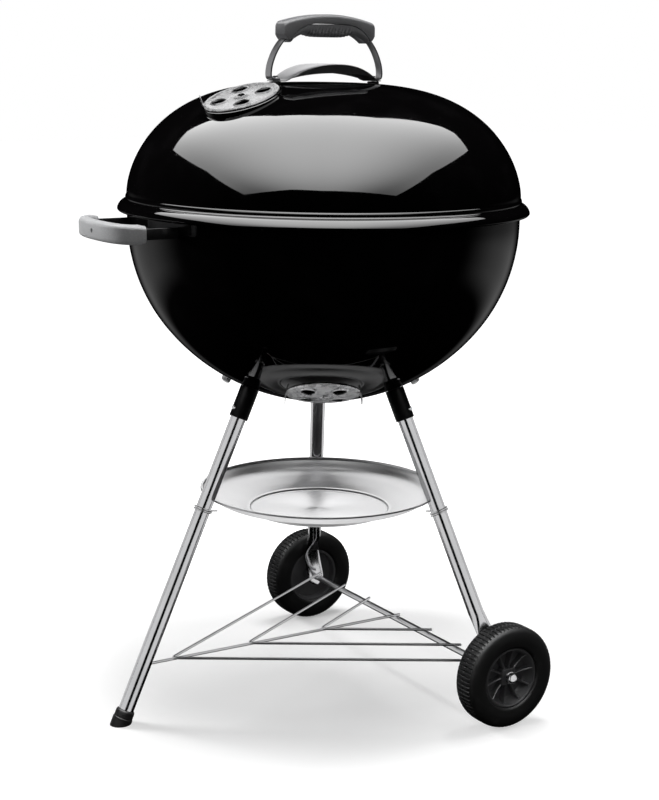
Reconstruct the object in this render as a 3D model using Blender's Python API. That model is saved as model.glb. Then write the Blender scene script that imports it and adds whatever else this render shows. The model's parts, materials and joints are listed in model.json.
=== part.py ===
"""Kettle charcoal grill on three tube legs, two of them with wheels.

Metres, +Z up, floor at z = 0. The plain leg and the bowl's handle point along -X,
the axle runs along Y on the +X side. Every object is one closed solid and one node.
"""

import math

import bmesh
import bpy
from mathutils import Matrix, Vector

GAP = 0.0003               # clearance kept between pieces that touch

# Kettle shells
WALL = 0.0016              # steel and enamel together
BOWL_RADIUS = 0.2812       # widest outside radius of the bowl
BOWL_WIDE_Z = 0.706        # height of that widest circle
BOWL_INSET = 0.0362        # from the axis to the centre of the side's arc in section
BOWL_FLATTER = 0.0100      # the floor's ball is this much larger than the bowl's radius
BOWL_SIDE_ARC = BOWL_RADIUS - BOWL_INSET
BOWL_BALL = BOWL_RADIUS + BOWL_FLATTER
BOWL_DEPTH = BOWL_BALL - math.sqrt((BOWL_BALL - BOWL_SIDE_ARC)**2 - BOWL_INSET**2)
BOWL_FLOOR_Z = BOWL_WIDE_Z - BOWL_DEPTH
RIM_HEIGHT = 0.036         # bowl wall above the widest circle
RIM_BEAD = 0.0022          # how far the bowl's rolled rim stands out
LID_RADIUS = BOWL_RADIUS - 0.0011    # outside radius of the lid's wall
LID_DOME = 0.1575          # height of the lid's dome above its wall
LID_WALL_Z = BOWL_WIDE_Z + RIM_HEIGHT + 0.0004    # height where the dome starts
LID_SHOULDER = 1.732       # exponents of the dome's curve
LID_FLATNESS = 3.110
LID_BEAD_RADIUS = BOWL_RADIUS + 0.0138    # outside radius of the lid's rolled bead
LID_BEAD_Z = LID_WALL_Z - 0.0094
LID_LIP_Z = LID_WALL_Z - 0.0234    # lower edge of the lid
LIP_CLEARANCE = 0.0015     # between the lid's lip and the bowl's rim bead

# Tripod
LEG_FOOT_RADIUS = 0.3278   # where a leg's centre line meets the floor
LEG_TOP_RADIUS = 0.12472   # where it ends under the bowl
LEG_TOP_Z = BOWL_FLOOR_Z + 0.0145
LEG_SPLAY = (LEG_FOOT_RADIUS - LEG_TOP_RADIUS) / LEG_TOP_Z    # outward run for each metre down
LEG_TUBE = 0.0111          # outside radius of the leg tube
LEG_WALL = 0.0012
SOCKET_WALL = 0.0022
SOCKET_END_Z = BOWL_FLOOR_Z - 0.0255    # lower end, on the leg's centre line
SOCKET_TOP_Z = BOWL_FLOOR_Z + 0.0565    # inside the bowl, whose shape is cut away
LEG_ANGLES = {"plain": 180.0, "left": 60.0, "right": -60.0}
FOOT_CAP_WALL = 0.0022
FOOT_CAP_HEIGHT = 0.011    # above the leg's end
FOOT_CAP_BELOW = 0.020     # below it, before the floor cuts the cap
LEG_END_LIFT = 0.008       # the plain leg's end stands this far over the cap's floor
FLAT_THICKNESS = 0.005     # pressed end of a wheel leg
FLAT_HALF_WIDTH = 0.0145
BUTTON_RADIUS = 0.0036
BUTTON_HEIGHT = 0.0022

# Wheels
WHEEL_RADIUS = 0.075
WHEEL_WIDTH = 0.0405
HUB_RADIUS = WHEEL_RADIUS - 0.031
FLAT_START_Z = WHEEL_RADIUS + 0.053    # where the wheel legs start to turn flat
WHEEL_LEG_RADIUS = LEG_FOOT_RADIUS - LEG_SPLAY * WHEEL_RADIUS
AXLE_X = WHEEL_LEG_RADIUS * math.cos(math.radians(LEG_ANGLES["left"]))
WHEEL_INNER_Y = WHEEL_LEG_RADIUS * math.sin(math.radians(LEG_ANGLES["left"])) - 0.0045835
FLAT_OUTER_Y = WHEEL_INNER_Y - 0.001
AXLE_RADIUS = 0.00475
AXLE_CAP_RADIUS = 0.0085
AXLE_CAP_LENGTH = 0.009
HUB_BOSS_RADIUS = 0.0125
HUB_WEB = 0.004
HUB_DISH = 0.010           # depth of the hub's face behind the tyre's side

# Ash pan and shelf
PAN_RIM_Z = BOWL_FLOOR_Z * 0.69898
PAN_RADIUS = LEG_FOOT_RADIUS - LEG_SPLAY * PAN_RIM_Z - LEG_TUBE - 0.002046
PAN_DEPTH = 0.036
PAN_RING_RADIUS = PAN_RADIUS * 0.587
PAN_WALL = 0.0012
PAN_BEAD = 0.0022
CLIP_WIRE = 0.0013
RACK_WIRE = 0.0020
RACK_CORNERS = (0.8972, 0.6107, 0.3225)    # corner of each chevron, as a share of the spine
RACK_PAST_AXLE = 0.010

# Dampers
DAMPER_RADIUS = 0.0525
DAMPER_SHEET = 0.0012
DAMPER_LIFT = 0.0009       # between a damper and the shell it turns on
DAMPER_HOLE = 0.0105
DAMPER_HOLE_CIRCLE = 0.031
RIVET_RADIUS = 0.0030
RIVET_HEAD = 0.0055
RIVET_SLACK = 0.0015       # the rivet's inner head stands this far inside the shell
TAB_WIDTH = 0.015
TAB_HEIGHT = 0.016
BOTTOM_DAMPER_TILT = 26.0
BOTTOM_DAMPER_ANGLES = {"front": 240.0, "left": 120.0, "right": 0.0}
TOP_DAMPER_ANGLE = 197.0
TOP_TAB_TURN = 135.0       # the top damper's single tab, from the uphill direction
PAD_MARGIN = 0.004

# Lid handle
HANDLE_ANGLE = 8.3         # direction of the handle across the lid
STRAP_WIDTH = 0.0127
STRAP_THICKNESS = 0.0025
GRIP_HALF_LENGTH = 0.083
STRAP_TOP = GRIP_HALF_LENGTH - 0.0085    # half the distance between the legs inside the grip
STRAP_FOOT = STRAP_TOP + 0.0240    # half the distance between the feet
TOP_DAMPER_RADIUS_AT = STRAP_FOOT + DAMPER_RADIUS + 0.0190
GRIP_WIDTH = 0.025
SEAT_TOP_Z = LID_WALL_Z + LID_DOME + 0.0013
GRIP_TOP_Z = SEAT_TOP_Z + 0.0925
GRIP_END_DROP = 0.0115     # the crest over the ends
SHIELD_WIDTH = 0.060
SHIELD_END_WIDTH = 0.020
SHIELD_RISE = 0.0235
SHIELD_SHEET = 0.0012
SHIELD_FLANGE = 0.009
SEAT_RADIUS = 0.0085
BOLT_RADIUS = 0.0025
BOLT_HEAD = 0.0045

# Bowl handle
SIDE_REACH = BOWL_RADIUS + 0.0808    # outside face of the side handle, from the kettle's axis
SIDE_HALF_SPAN = 0.0850
SIDE_BOW = 0.0400          # how far the ends stand back from the middle
SIDE_DEPTH = 0.0185
SIDE_HEIGHT = 0.0265
SIDE_Z = BOWL_WIDE_Z - 0.0005
SIDE_STRAP = 0.0030
SIDE_STRAP_HEIGHT = 0.0150
SIDE_SCREW_HOLE = 0.0030

# Grates
COOKING_GRATE_Z = BOWL_WIDE_Z + 0.002
COOKING_GRATE_RADIUS = BOWL_RADIUS - 0.0122
CHARCOAL_GRATE_Z = BOWL_WIDE_Z - 0.114
CHARCOAL_GRATE_RADIUS = BOWL_RADIUS * 0.7646
GRATE_RING_WIRE = 0.0030
GRATE_BAR = 0.0020
COOKING_BARS = 15
CHARCOAL_BARS = 9
CHARCOAL_BAR = 0.0035
BRACKET_ANGLES = (30.0, 120.0, 210.0, 300.0)
BRACKET_WIDTH = 0.022
BRACKET_SHEET = 0.0025

ROUND = 28                 # sides of the big turned pieces
WHEEL_SIDES = 24
SMALL = 10                 # sides of rivets and bolts
TUBE_SIDES = 14
CUT_PHASE = 0.11           # turns a cutter's corners off the edges of what it cuts

AXIS_X = (SIDE_REACH - LID_BEAD_RADIUS) / 2    # puts the origin under the middle of the box


# ---------------------------------------------------------------- helpers

def clear_scene():
    for old in list(bpy.data.objects):
        bpy.data.objects.remove(old, do_unlink=True)


def material(name, colour, roughness, metallic):
    made = bpy.data.materials.get(name)
    if made:
        return made
    made = bpy.data.materials.new(name)
    made.use_nodes = True
    shader = made.node_tree.nodes["Principled BSDF"]
    shader.inputs["Base Color"].default_value = (*colour, 1.0)
    shader.inputs["Roughness"].default_value = roughness
    shader.inputs["Metallic"].default_value = metallic
    return made


def enamel(name):
    return material(name + "_enamel", (0.006, 0.006, 0.007), 0.08, 0.0)


def steel(name):
    return material(name + "_steel", (0.62, 0.62, 0.63), 0.25, 1.0)


def aluminium(name):
    return material(name + "_aluminium", (0.80, 0.80, 0.81), 0.35, 1.0)


def nylon(name):
    return material(name + "_nylon", (0.16, 0.165, 0.17), 0.45, 0.0)


def black_plastic(name):
    return material(name + "_plastic", (0.015, 0.015, 0.016), 0.45, 0.0)


def rubber(name):
    return material(name + "_rubber", (0.012, 0.012, 0.012), 0.65, 0.0)


def black_paint(name):
    return material(name + "_paint", (0.01, 0.01, 0.01), 0.35, 0.0)


def node(name, mesh, finish, smooth=40.0):
    """Make one object from a bmesh whose faces are turned outwards."""
    bmesh.ops.recalc_face_normals(mesh, faces=mesh.faces)
    data = bpy.data.meshes.new(name)
    mesh.to_mesh(data)
    mesh.free()
    data.materials.append(finish)
    data.shade_smooth()
    data.set_sharp_from_angle(angle=math.radians(smooth))
    made = bpy.data.objects.new(name, data)
    bpy.context.collection.objects.link(made)
    return made


def tool(name, mesh):
    """A cutter or an added shape: it is not a node."""
    made = node(name, mesh, material("tool", (0.5, 0.5, 0.5), 0.5, 0.0))
    made.hide_render = True
    made.display_type = "WIRE"
    return made


def combine(target, other, operation):
    change = target.modifiers.new(operation.lower(), "BOOLEAN")
    change.operation = operation
    change.object = other
    change.solver = "EXACT"


def set_origin(made, point):
    """Move an object's origin to a joint's axis and leave its shape where it is."""
    made.data.transform(Matrix.Translation(-Vector(point)))
    made.location = point


def around(radius, angle, z):
    """A point by radius and angle about the kettle's axis."""
    turn = math.radians(angle)
    return Vector((AXIS_X + radius * math.cos(turn), radius * math.sin(turn), z))


def loft(mesh, rings, closed=False):
    """Skin a run of rings with equal counts, and cap its ends."""
    made = [[mesh.verts.new(point) for point in ring] for ring in rings]
    count = len(made[0])
    pairs = list(zip(made[:-1], made[1:]))
    if closed:
        pairs.append((made[-1], made[0]))
    for low, high in pairs:
        for i in range(count):
            j = (i + 1) % count
            mesh.faces.new((low[i], low[j], high[j], high[i]))
    if not closed:
        mesh.faces.new(list(reversed(made[0])))
        mesh.faces.new(made[-1])


def turned(mesh, profile, frame=None, sides=ROUND, closed=True):
    """Turn a profile of (radius, height) about an axis.

    The axis is the frame's own Z. A profile that starts and ends on the axis is left open there.
    """
    frame = frame or Matrix.Translation((AXIS_X, 0, 0))
    rings = []
    for radius, height in profile:
        if radius < 1e-7:
            rings.append([mesh.verts.new(frame @ Vector((0, 0, height)))])
            continue
        ring = []
        for i in range(sides):
            turn = 2 * math.pi * i / sides
            spot = Vector((radius * math.cos(turn), radius * math.sin(turn), height))
            ring.append(mesh.verts.new(frame @ spot))
        rings.append(ring)
    pairs = list(zip(rings[:-1], rings[1:]))
    if closed:
        pairs.append((rings[-1], rings[0]))
    for low, high in pairs:
        skin_between(mesh, low, high)


def skin_between(mesh, low, high):
    if len(low) == 1 and len(high) == 1:
        return
    count = max(len(low), len(high))
    for i in range(count):
        j = (i + 1) % count
        if len(low) == 1:
            mesh.faces.new((low[0], high[j], high[i]))
        elif len(high) == 1:
            mesh.faces.new((low[i], low[j], high[0]))
        else:
            mesh.faces.new((low[i], low[j], high[j], high[i]))


def aimed(point, direction):
    """A frame at a point whose Z runs along a direction."""
    turn = Vector((0, 0, 1)).rotation_difference(Vector(direction).normalized())
    return Matrix.Translation(point) @ turn.to_matrix().to_4x4()


def rod(mesh, start, end, radius, sides=12, phase=0.0):
    """A straight round bar."""
    start = Vector(start)
    end = Vector(end)
    frame = aimed(start, end - start)
    length = (end - start).length
    rings = []
    for height in (0.0, length):
        rings.append([frame @ Vector((radius * math.cos(a), radius * math.sin(a), height))
                      for a in spread(sides, phase)])
    loft(mesh, rings)


def spread(count, phase=0.0):
    return [phase + 2 * math.pi * i / count for i in range(count)]


def bent_wire(mesh, points, radius, sides=8, closed=False):
    """Round wire along points in space."""
    points = [Vector(p) for p in points]
    rings = []
    across = None
    for i, point in enumerate(points):
        before = points[i - 1] if (i or closed) else point
        after = points[(i + 1) % len(points)] if (i < len(points) - 1 or closed) else point
        along = (after - before).normalized()
        if across is None:
            across = along.orthogonal().normalized()
        across = (across - along * across.dot(along)).normalized()
        other = along.cross(across)
        rings.append([point + radius * (math.cos(a) * across + math.sin(a) * other)
                      for a in spread(sides)])
    loft(mesh, rings, closed)


def band(mesh, path, side, width, thickness, rounded=0.0):
    """A flat strip along a path: its width lies along side, its thickness across the path."""
    path = [Vector(p) for p in path]
    side = Vector(side).normalized()
    rings = []
    for i, point in enumerate(path):
        before = path[max(i - 1, 0)]
        after = path[min(i + 1, len(path) - 1)]
        first = (point - before).normalized() if i else (after - point).normalized()
        last = (after - point).normalized() if i < len(path) - 1 else first
        along = (first + last).normalized()
        stretch = 1.0 / max(along.dot(first), 0.5)
        out = along.cross(side).normalized() * (thickness / 2 * stretch)
        rings.append(section(point, side * (width / 2), out, rounded, width, thickness))
    loft(mesh, rings)


def section(point, half_side, half_out, rounded, width, thickness):
    """A rectangle about a point, with its corners cut where rounded is given."""
    corners = ((1, 1), (-1, 1), (-1, -1), (1, -1))
    if not rounded:
        return [point + half_side * a + half_out * b for a, b in corners]
    in_side = 1 - 2 * rounded / width
    in_out = 1 - 2 * rounded / thickness
    ring = []
    for a, b in corners:
        soft = ((a * in_side, b), (a, b * in_out))
        if a * b > 0:
            soft = tuple(reversed(soft))
        ring.extend(point + half_side * p + half_out * q for p, q in soft)
    return ring


def arc(centre, radius, start, end, steps):
    """Points on an arc in a plane, with angles in degrees."""
    made = []
    for i in range(steps + 1):
        turn = math.radians(start + (end - start) * i / steps)
        made.append((centre[0] + radius * math.cos(turn), centre[1] + radius * math.sin(turn)))
    return made


def offset(profile, distance):
    """Shift a profile sideways by a distance, to the right of its run."""
    made = []
    last = len(profile) - 1
    for i, (x, z) in enumerate(profile):
        x0, z0 = profile[max(i - 1, 0)]
        x1, z1 = profile[min(i + 1, last)]
        length = math.hypot(x1 - x0, z1 - z0)
        shift_x = (z1 - z0) / length * distance
        shift_z = -(x1 - x0) / length * distance
        made.append((0.0 if x < 1e-7 else x + shift_x, z + shift_z))
    return made


# ---------------------------------------------------------------- bowl

def bowl_floor_arc():
    """Radius and centre height of the ball that the bowl's floor is part of."""
    return BOWL_BALL, BOWL_FLOOR_Z + BOWL_BALL


def bowl_outline(floor_steps=8, side_steps=4):
    """Outside of the bowl from the axis up to the widest circle."""
    ball, ball_z = bowl_floor_arc()
    join = math.degrees(math.atan2(ball_z - BOWL_WIDE_Z, BOWL_INSET))
    floor = arc((0.0, ball_z), ball, -90.0, -join, floor_steps)
    side = arc((BOWL_INSET, BOWL_WIDE_Z), BOWL_SIDE_ARC, -join, 0.0, side_steps)
    floor[0] = (0.0, floor[0][1])
    return floor + side[1:]


def bowl_wall_z():
    return BOWL_WIDE_Z + RIM_HEIGHT


def make_bowl():
    outside = bowl_outline()
    inside = offset(outside, -WALL)
    top = bowl_wall_z()
    bead = BOWL_RADIUS + RIM_BEAD
    rim = [(BOWL_RADIUS, top - 0.010), (bead, top - 0.007), (bead, top - 0.003),
           (bead - 0.0016, top), (BOWL_RADIUS - WALL, top)]
    mesh = bmesh.new()
    turned(mesh, outside + rim + list(reversed(inside)), closed=False)
    made = node("bowl", mesh, enamel("bowl"))
    for angle in BOTTOM_DAMPER_ANGLES.values():
        combine(made, vent_cutter(bottom_damper_frame(angle), "bowl_vents"), "DIFFERENCE")


def vent_cutter(frame, name):
    """Four round holes about a damper's rivet, and the rivet's own hole."""
    mesh = bmesh.new()
    for turn in spread(4, math.radians(45)):
        spot = Vector((math.cos(turn), math.sin(turn), 0)) * DAMPER_HOLE_CIRCLE
        rod(mesh, frame @ (spot - Vector((0, 0, 0.02))), frame @ (spot + Vector((0, 0, 0.02))),
            DAMPER_HOLE, 8)
    rod(mesh, frame @ Vector((0, 0, -0.02)), frame @ Vector((0, 0, 0.02)), RIVET_RADIUS + GAP, 8)
    return tool(name, mesh)


# ---------------------------------------------------------------- lid

def lid_height(radius):
    """Outside height of the lid's dome at a radius."""
    share = 1 - (radius / LID_RADIUS) ** LID_FLATNESS
    return LID_WALL_Z + LID_DOME * share ** (1 / LID_SHOULDER)


def lid_radius(z):
    rise = (z - LID_WALL_Z) / LID_DOME
    return LID_RADIUS * (1 - rise**LID_SHOULDER) ** (1 / LID_FLATNESS)


def lip_inside_radius():
    return BOWL_RADIUS + RIM_BEAD + LIP_CLEARANCE


def lid_outline(steps=8):
    """Outside of the lid from its lower edge, over the bead, to the crown."""
    lip = lip_inside_radius() + WALL
    bead = LID_BEAD_RADIUS
    edge = [(lip, LID_LIP_Z), (lip + 0.0008, LID_LIP_Z + 0.004),
            (bead - 0.0026, LID_BEAD_Z - 0.0062), (bead, LID_BEAD_Z),
            (bead - 0.0022, LID_BEAD_Z + 0.0062), (bead - 0.0068, LID_BEAD_Z + 0.0108)]
    neck_z = LID_BEAD_Z + 0.0150
    dome = [(LID_RADIUS + 0.0022, neck_z), (lid_radius(neck_z + 0.008), neck_z + 0.008)]
    start = math.asin((neck_z + 0.018 - LID_WALL_Z) / LID_DOME)
    for i in range(steps + 1):
        lift = start + (math.pi / 2 - start) * i / steps
        z = LID_WALL_Z + LID_DOME * math.sin(lift)
        dome.append((lid_radius(z) if i < steps else 0.0, z))
    return edge + dome


def top_damper_frame():
    """Frame on the lid, Z out of the dome and X up the slope."""
    step = 0.001
    high = lid_height(TOP_DAMPER_RADIUS_AT - step)
    low = lid_height(TOP_DAMPER_RADIUS_AT + step)
    slope = math.atan2(high - low, 2 * step)
    turn = math.radians(TOP_DAMPER_ANGLE)
    outward = Vector((math.cos(turn), math.sin(turn), 0))
    normal = outward * math.sin(slope) + Vector((0, 0, math.cos(slope)))
    uphill = -outward * math.cos(slope) + Vector((0, 0, math.sin(slope)))
    middle = around(TOP_DAMPER_RADIUS_AT, TOP_DAMPER_ANGLE, lid_height(TOP_DAMPER_RADIUS_AT))
    frame = Matrix((uphill, normal.cross(uphill), normal)).transposed().to_4x4()
    return Matrix.Translation(middle) @ frame


def make_lid():
    outside = lid_outline()
    inside = [(lip_inside_radius(), LID_LIP_Z - 0.002)] + offset(outside, -WALL)
    mesh = bmesh.new()
    turned(mesh, [(0.0, LID_LIP_Z)] + outside, closed=False)
    made = node("lid", mesh, enamel("lid"))
    frame = top_damper_frame()
    mesh = bmesh.new()
    rod(mesh, frame @ Vector((0, 0, -0.012)), frame.translation,
        DAMPER_RADIUS + PAD_MARGIN, 24)
    combine(made, tool("lid_pad", mesh), "UNION")
    mesh = bmesh.new()
    turned(mesh, [(0.0, LID_LIP_Z - 0.002)] + inside, closed=False)
    combine(made, tool("lid_hollow", mesh), "DIFFERENCE")
    combine(made, vent_cutter(frame, "lid_vents"), "DIFFERENCE")


# ---------------------------------------------------------------- dampers

def bottom_damper_frame(angle):
    """Frame on the bowl's floor, Z straight out of the ball."""
    ball, ball_z = bowl_floor_arc()
    tilt = math.radians(BOTTOM_DAMPER_TILT)
    turn = math.radians(angle)
    outward = Vector((math.cos(turn), math.sin(turn), 0))
    normal = outward * math.sin(tilt) - Vector((0, 0, math.cos(tilt)))
    across = Vector((-math.sin(turn), math.cos(turn), 0))
    middle = Vector((AXIS_X, 0, ball_z)) + normal * ball
    frame = Matrix((across, normal.cross(across), normal)).transposed().to_4x4()
    return Matrix.Translation(middle) @ frame


def damper_disc(name, frame, ball, tabs):
    """A thin disc, dished to a ball or flat, with turning tabs."""
    def height(radius, lift):
        if not ball:
            return lift
        return math.sqrt((ball + lift)**2 - radius**2) - ball
    steps = 2 if ball else 1
    radii = [DAMPER_RADIUS * i / steps for i in range(steps + 1)]
    low = [(r, height(r, DAMPER_LIFT)) for r in radii]
    high = [(r, height(r, DAMPER_LIFT + DAMPER_SHEET)) for r in radii]
    mesh = bmesh.new()
    turned(mesh, low + list(reversed(high)), frame, 20, closed=False)
    made = node(name, mesh, aluminium(name))
    for turn in tabs:
        combine(made, tab_shape(name, frame, turn, height(DAMPER_RADIUS, DAMPER_LIFT)), "UNION")
    combine(made, vent_cutter(frame, name + "_holes"), "DIFFERENCE")
    set_origin(made, frame.translation)


def tab_shape(name, frame, turn, base):
    """A tab bent up from the disc's edge."""
    spin = Matrix.Rotation(math.radians(turn), 4, "Z")
    inner = DAMPER_RADIUS - 0.006
    outer = DAMPER_RADIUS - 0.0002
    path = [(inner, 0, base + DAMPER_SHEET / 2 + 0.0002), (outer, 0, base + DAMPER_SHEET / 2),
            (outer + 0.002, 0, base + TAB_HEIGHT * 0.5), (outer + 0.0022, 0, base + TAB_HEIGHT)]
    mesh = bmesh.new()
    band(mesh, [frame @ spin @ Vector(p) for p in path], frame.to_3x3() @ spin.to_3x3() @
         Vector((0, 1, 0)), TAB_WIDTH, DAMPER_SHEET)
    return tool(name + "_tab", mesh)


def make_rivet(name, frame, under, over):
    """A rivet through the sheets: its heads stand clear of both."""
    profile = [(0.0, -under - 0.0014), (RIVET_HEAD * 0.8, -under - 0.0014),
               (RIVET_HEAD, -under), (RIVET_RADIUS, -under), (RIVET_RADIUS, over),
               (RIVET_HEAD, over), (RIVET_HEAD * 0.8, over + 0.0014),
               (0.0, over + 0.0020)]
    mesh = bmesh.new()
    turned(mesh, profile, frame, SMALL, closed=False)
    node(name, mesh, steel(name))


def make_dampers():
    ball, _ = bowl_floor_arc()
    over = DAMPER_LIFT + DAMPER_SHEET + GAP
    for side, angle in BOTTOM_DAMPER_ANGLES.items():
        frame = bottom_damper_frame(angle)
        damper_disc("bottom_damper_" + side, frame, ball, (0.0, 180.0))
        make_rivet("damper_rivet_" + side, frame, WALL + RIVET_SLACK, over)
    frame = top_damper_frame()
    damper_disc("top_damper", frame, 0.0, (TOP_TAB_TURN,))
    make_rivet("top_damper_rivet", frame, WALL + RIVET_SLACK, over)


# ---------------------------------------------------------------- tripod

def leg_point(angle, z):
    """A point on a leg's centre line."""
    return around(LEG_FOOT_RADIUS - LEG_SPLAY * z, angle, z)


def leg_frame(point, along):
    """A frame on a leg's centre line. Tube, socket and cap share it, so their sides line up."""
    along = along.normalized()
    across = (Vector((0, 1, 0)) - along * along.y).normalized()
    frame = Matrix((across, along.cross(across), along)).transposed().to_4x4()
    return Matrix.Translation(point) @ frame


def ring_on(point, along, across, radius_a, radius_b, sides=TUBE_SIDES):
    other = along.cross(across).normalized()
    across = other.cross(along).normalized()
    return [point + radius_a * math.cos(a) * across + radius_b * math.sin(a) * other
            for a in spread(sides)]


def make_plain_leg():
    top = leg_point(LEG_ANGLES["plain"], LEG_TOP_Z)
    foot = leg_point(LEG_ANGLES["plain"], FOOT_CAP_WALL + LEG_END_LIFT)
    frame = leg_frame(foot, top - foot)
    length = (top - foot).length
    bore = LEG_TUBE - LEG_WALL
    profile = [(LEG_TUBE, 0.0), (LEG_TUBE, length), (bore, length), (bore, 0.0)]
    mesh = bmesh.new()
    turned(mesh, profile, frame, TUBE_SIDES)
    made = node("leg_plain", mesh, steel("leg_plain"))
    mesh = bmesh.new()
    rod(mesh, rack_spine_end() + Vector((-0.004, 0, 0)), rack_spine_end() + Vector((0.03, 0, 0)),
        RACK_WIRE + GAP, 8, CUT_PHASE)
    combine(made, tool("leg_plain_shelf_hole", mesh), "DIFFERENCE")
    combine(made, button_cutter("plain"), "DIFFERENCE")


def axle_centre():
    """The axle's place in the XZ plane: below the pressed ends."""
    return Vector((AXIS_X + AXLE_X, 0, WHEEL_RADIUS))


def make_wheel_leg(side):
    """A tube leg pressed flat at its lower end, parallel to the wheel."""
    angle = LEG_ANGLES[side]
    sign = 1 if angle > 0 else -1
    flat_y = sign * (FLAT_OUTER_Y - FLAT_THICKNESS / 2)
    round_end = leg_point(angle, FLAT_START_Z + 0.030)
    top = leg_point(angle, LEG_TOP_Z)
    along = (round_end - top).normalized()
    hub = axle_centre() + Vector((0, flat_y, 0))
    flat_start = leg_point(angle, FLAT_START_Z - 0.010)
    flat_start.y = flat_y
    down = (hub - flat_start).normalized()
    y_axis = Vector((0, 1, 0))
    rings = [ring_on(top, along, y_axis, LEG_TUBE, LEG_TUBE),
             ring_on(round_end, along, y_axis, LEG_TUBE, LEG_TUBE)]
    steps = 5
    for i in range(1, steps + 1):
        share = i / steps
        ease = share * share * (3 - 2 * share)
        point = round_end.lerp(flat_start, share)
        heading = along.lerp(down, ease).normalized()
        thin = LEG_TUBE + (FLAT_THICKNESS / 2 - LEG_TUBE) * ease
        wide = LEG_TUBE + (FLAT_HALF_WIDTH - LEG_TUBE) * ease
        rings.append(ring_on(point, heading, y_axis, thin, wide))
    for angle_down in (0.0, 30.0, 60.0, 80.0):
        reach = FLAT_HALF_WIDTH * math.sin(math.radians(angle_down))
        wide = FLAT_HALF_WIDTH * math.cos(math.radians(angle_down))
        rings.append(ring_on(hub + down * reach, down, y_axis, FLAT_THICKNESS / 2, wide))
    mesh = bmesh.new()
    loft(mesh, rings)
    made = node("leg_" + side, mesh, steel("leg_" + side))
    mesh = bmesh.new()
    rod(mesh, hub - y_axis * 0.02, hub + y_axis * 0.02, AXLE_RADIUS + GAP, 20)
    combine(made, tool("leg_axle_hole_" + side, mesh), "DIFFERENCE")
    combine(made, button_cutter(side), "DIFFERENCE")


def socket_bottom(angle):
    return leg_point(angle, SOCKET_END_Z)


def make_socket(side):
    """A sleeve over the leg's top, shaped to the bowl it is welded to."""
    angle = LEG_ANGLES[side]
    low = socket_bottom(angle)
    high = leg_point(angle, SOCKET_TOP_Z)
    leg_end = (leg_point(angle, LEG_TOP_Z) - low).length + GAP * 2
    outer = LEG_TUBE + GAP + SOCKET_WALL
    bore = LEG_TUBE + GAP
    length = (high - low).length
    profile = [(bore, 0.0), (outer, 0.0), (outer, length), (0.0, length),
               (0.0, leg_end), (bore, leg_end)]
    mesh = bmesh.new()
    turned(mesh, profile, leg_frame(low, high - low), TUBE_SIDES)
    made = node("leg_socket_" + side, mesh, black_paint("leg_socket"))
    mesh = bmesh.new()
    grown = offset(bowl_outline(), GAP)
    turned(mesh, grown + [(0.0, BOWL_WIDE_Z)], closed=False)
    combine(made, tool("socket_cut_" + side, mesh), "DIFFERENCE")
    combine(made, button_cutter(side), "DIFFERENCE")


def button_line(side):
    """Where the lock button stands: on the leg's outward side, inside the socket's length."""
    angle = LEG_ANGLES[side]
    z = SOCKET_END_Z + 0.020
    middle = leg_point(angle, z)
    along = (leg_point(angle, z + 0.1) - middle).normalized()
    turn = math.radians(angle)
    tangent = Vector((-math.sin(turn), math.cos(turn), 0))
    out = tangent.cross(along).normalized()
    if out.dot(middle - Vector((AXIS_X, 0, middle.z))) < 0:
        out = -out
    return middle, out


def button_cutter(side):
    middle, out = button_line(side)
    mesh = bmesh.new()
    rod(mesh, middle + out * (LEG_TUBE - LEG_WALL - 0.001), middle + out * (LEG_TUBE + 0.02),
        BUTTON_RADIUS + GAP, 12, CUT_PHASE)
    return tool("button_hole_" + side, mesh)


def make_button(side):
    middle, out = button_line(side)
    start = LEG_TUBE - LEG_WALL + 0.0004
    top = LEG_TUBE + GAP + SOCKET_WALL + BUTTON_HEIGHT
    profile = [(0.0, start), (BUTTON_RADIUS, start), (BUTTON_RADIUS, top - 0.0012),
               (BUTTON_RADIUS * 0.7, top - 0.0003), (0.0, top)]
    mesh = bmesh.new()
    turned(mesh, profile, aimed(middle, out), 12, closed=False)
    node("lock_button_" + side, mesh, steel("lock_button"))


def make_foot_cap():
    """A cup over the plain leg's end, cut flat to stand on the floor."""
    angle = LEG_ANGLES["plain"]
    seat = leg_point(angle, FOOT_CAP_WALL + LEG_END_LIFT)
    along = (leg_point(angle, 0.3) - seat).normalized()
    frame = leg_frame(seat, along)
    bore = LEG_TUBE + GAP
    outer = bore + FOOT_CAP_WALL
    top = FOOT_CAP_HEIGHT
    profile = [(0.0, -FOOT_CAP_BELOW), (outer + 0.0008, -FOOT_CAP_BELOW), (outer, top - 0.002),
               (outer - 0.0008, top), (bore, top),
               (bore, -GAP), (0.0, -GAP)]
    mesh = bmesh.new()
    turned(mesh, profile, frame, TUBE_SIDES, closed=False)
    cut = bmesh.ops.bisect_plane(mesh, geom=mesh.verts[:] + mesh.edges[:] + mesh.faces[:],
                                 plane_co=(0, 0, 0), plane_no=(0, 0, -1), clear_outer=True)
    edges = [e for e in cut["geom_cut"] if isinstance(e, bmesh.types.BMEdge)]
    bmesh.ops.contextual_create(mesh, geom=edges)
    node("foot_cap", mesh, black_plastic("foot_cap"))


# ---------------------------------------------------------------- wheels

def make_wheel(side):
    sign = 1 if LEG_ANGLES[side] > 0 else -1
    inner = axle_centre() + Vector((0, sign * WHEEL_INNER_Y, 0))
    frame = aimed(inner, (0, sign, 0))
    make_tyre(side, frame)
    make_hub(side, frame)
    make_axle_cap(side, frame)


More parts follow.
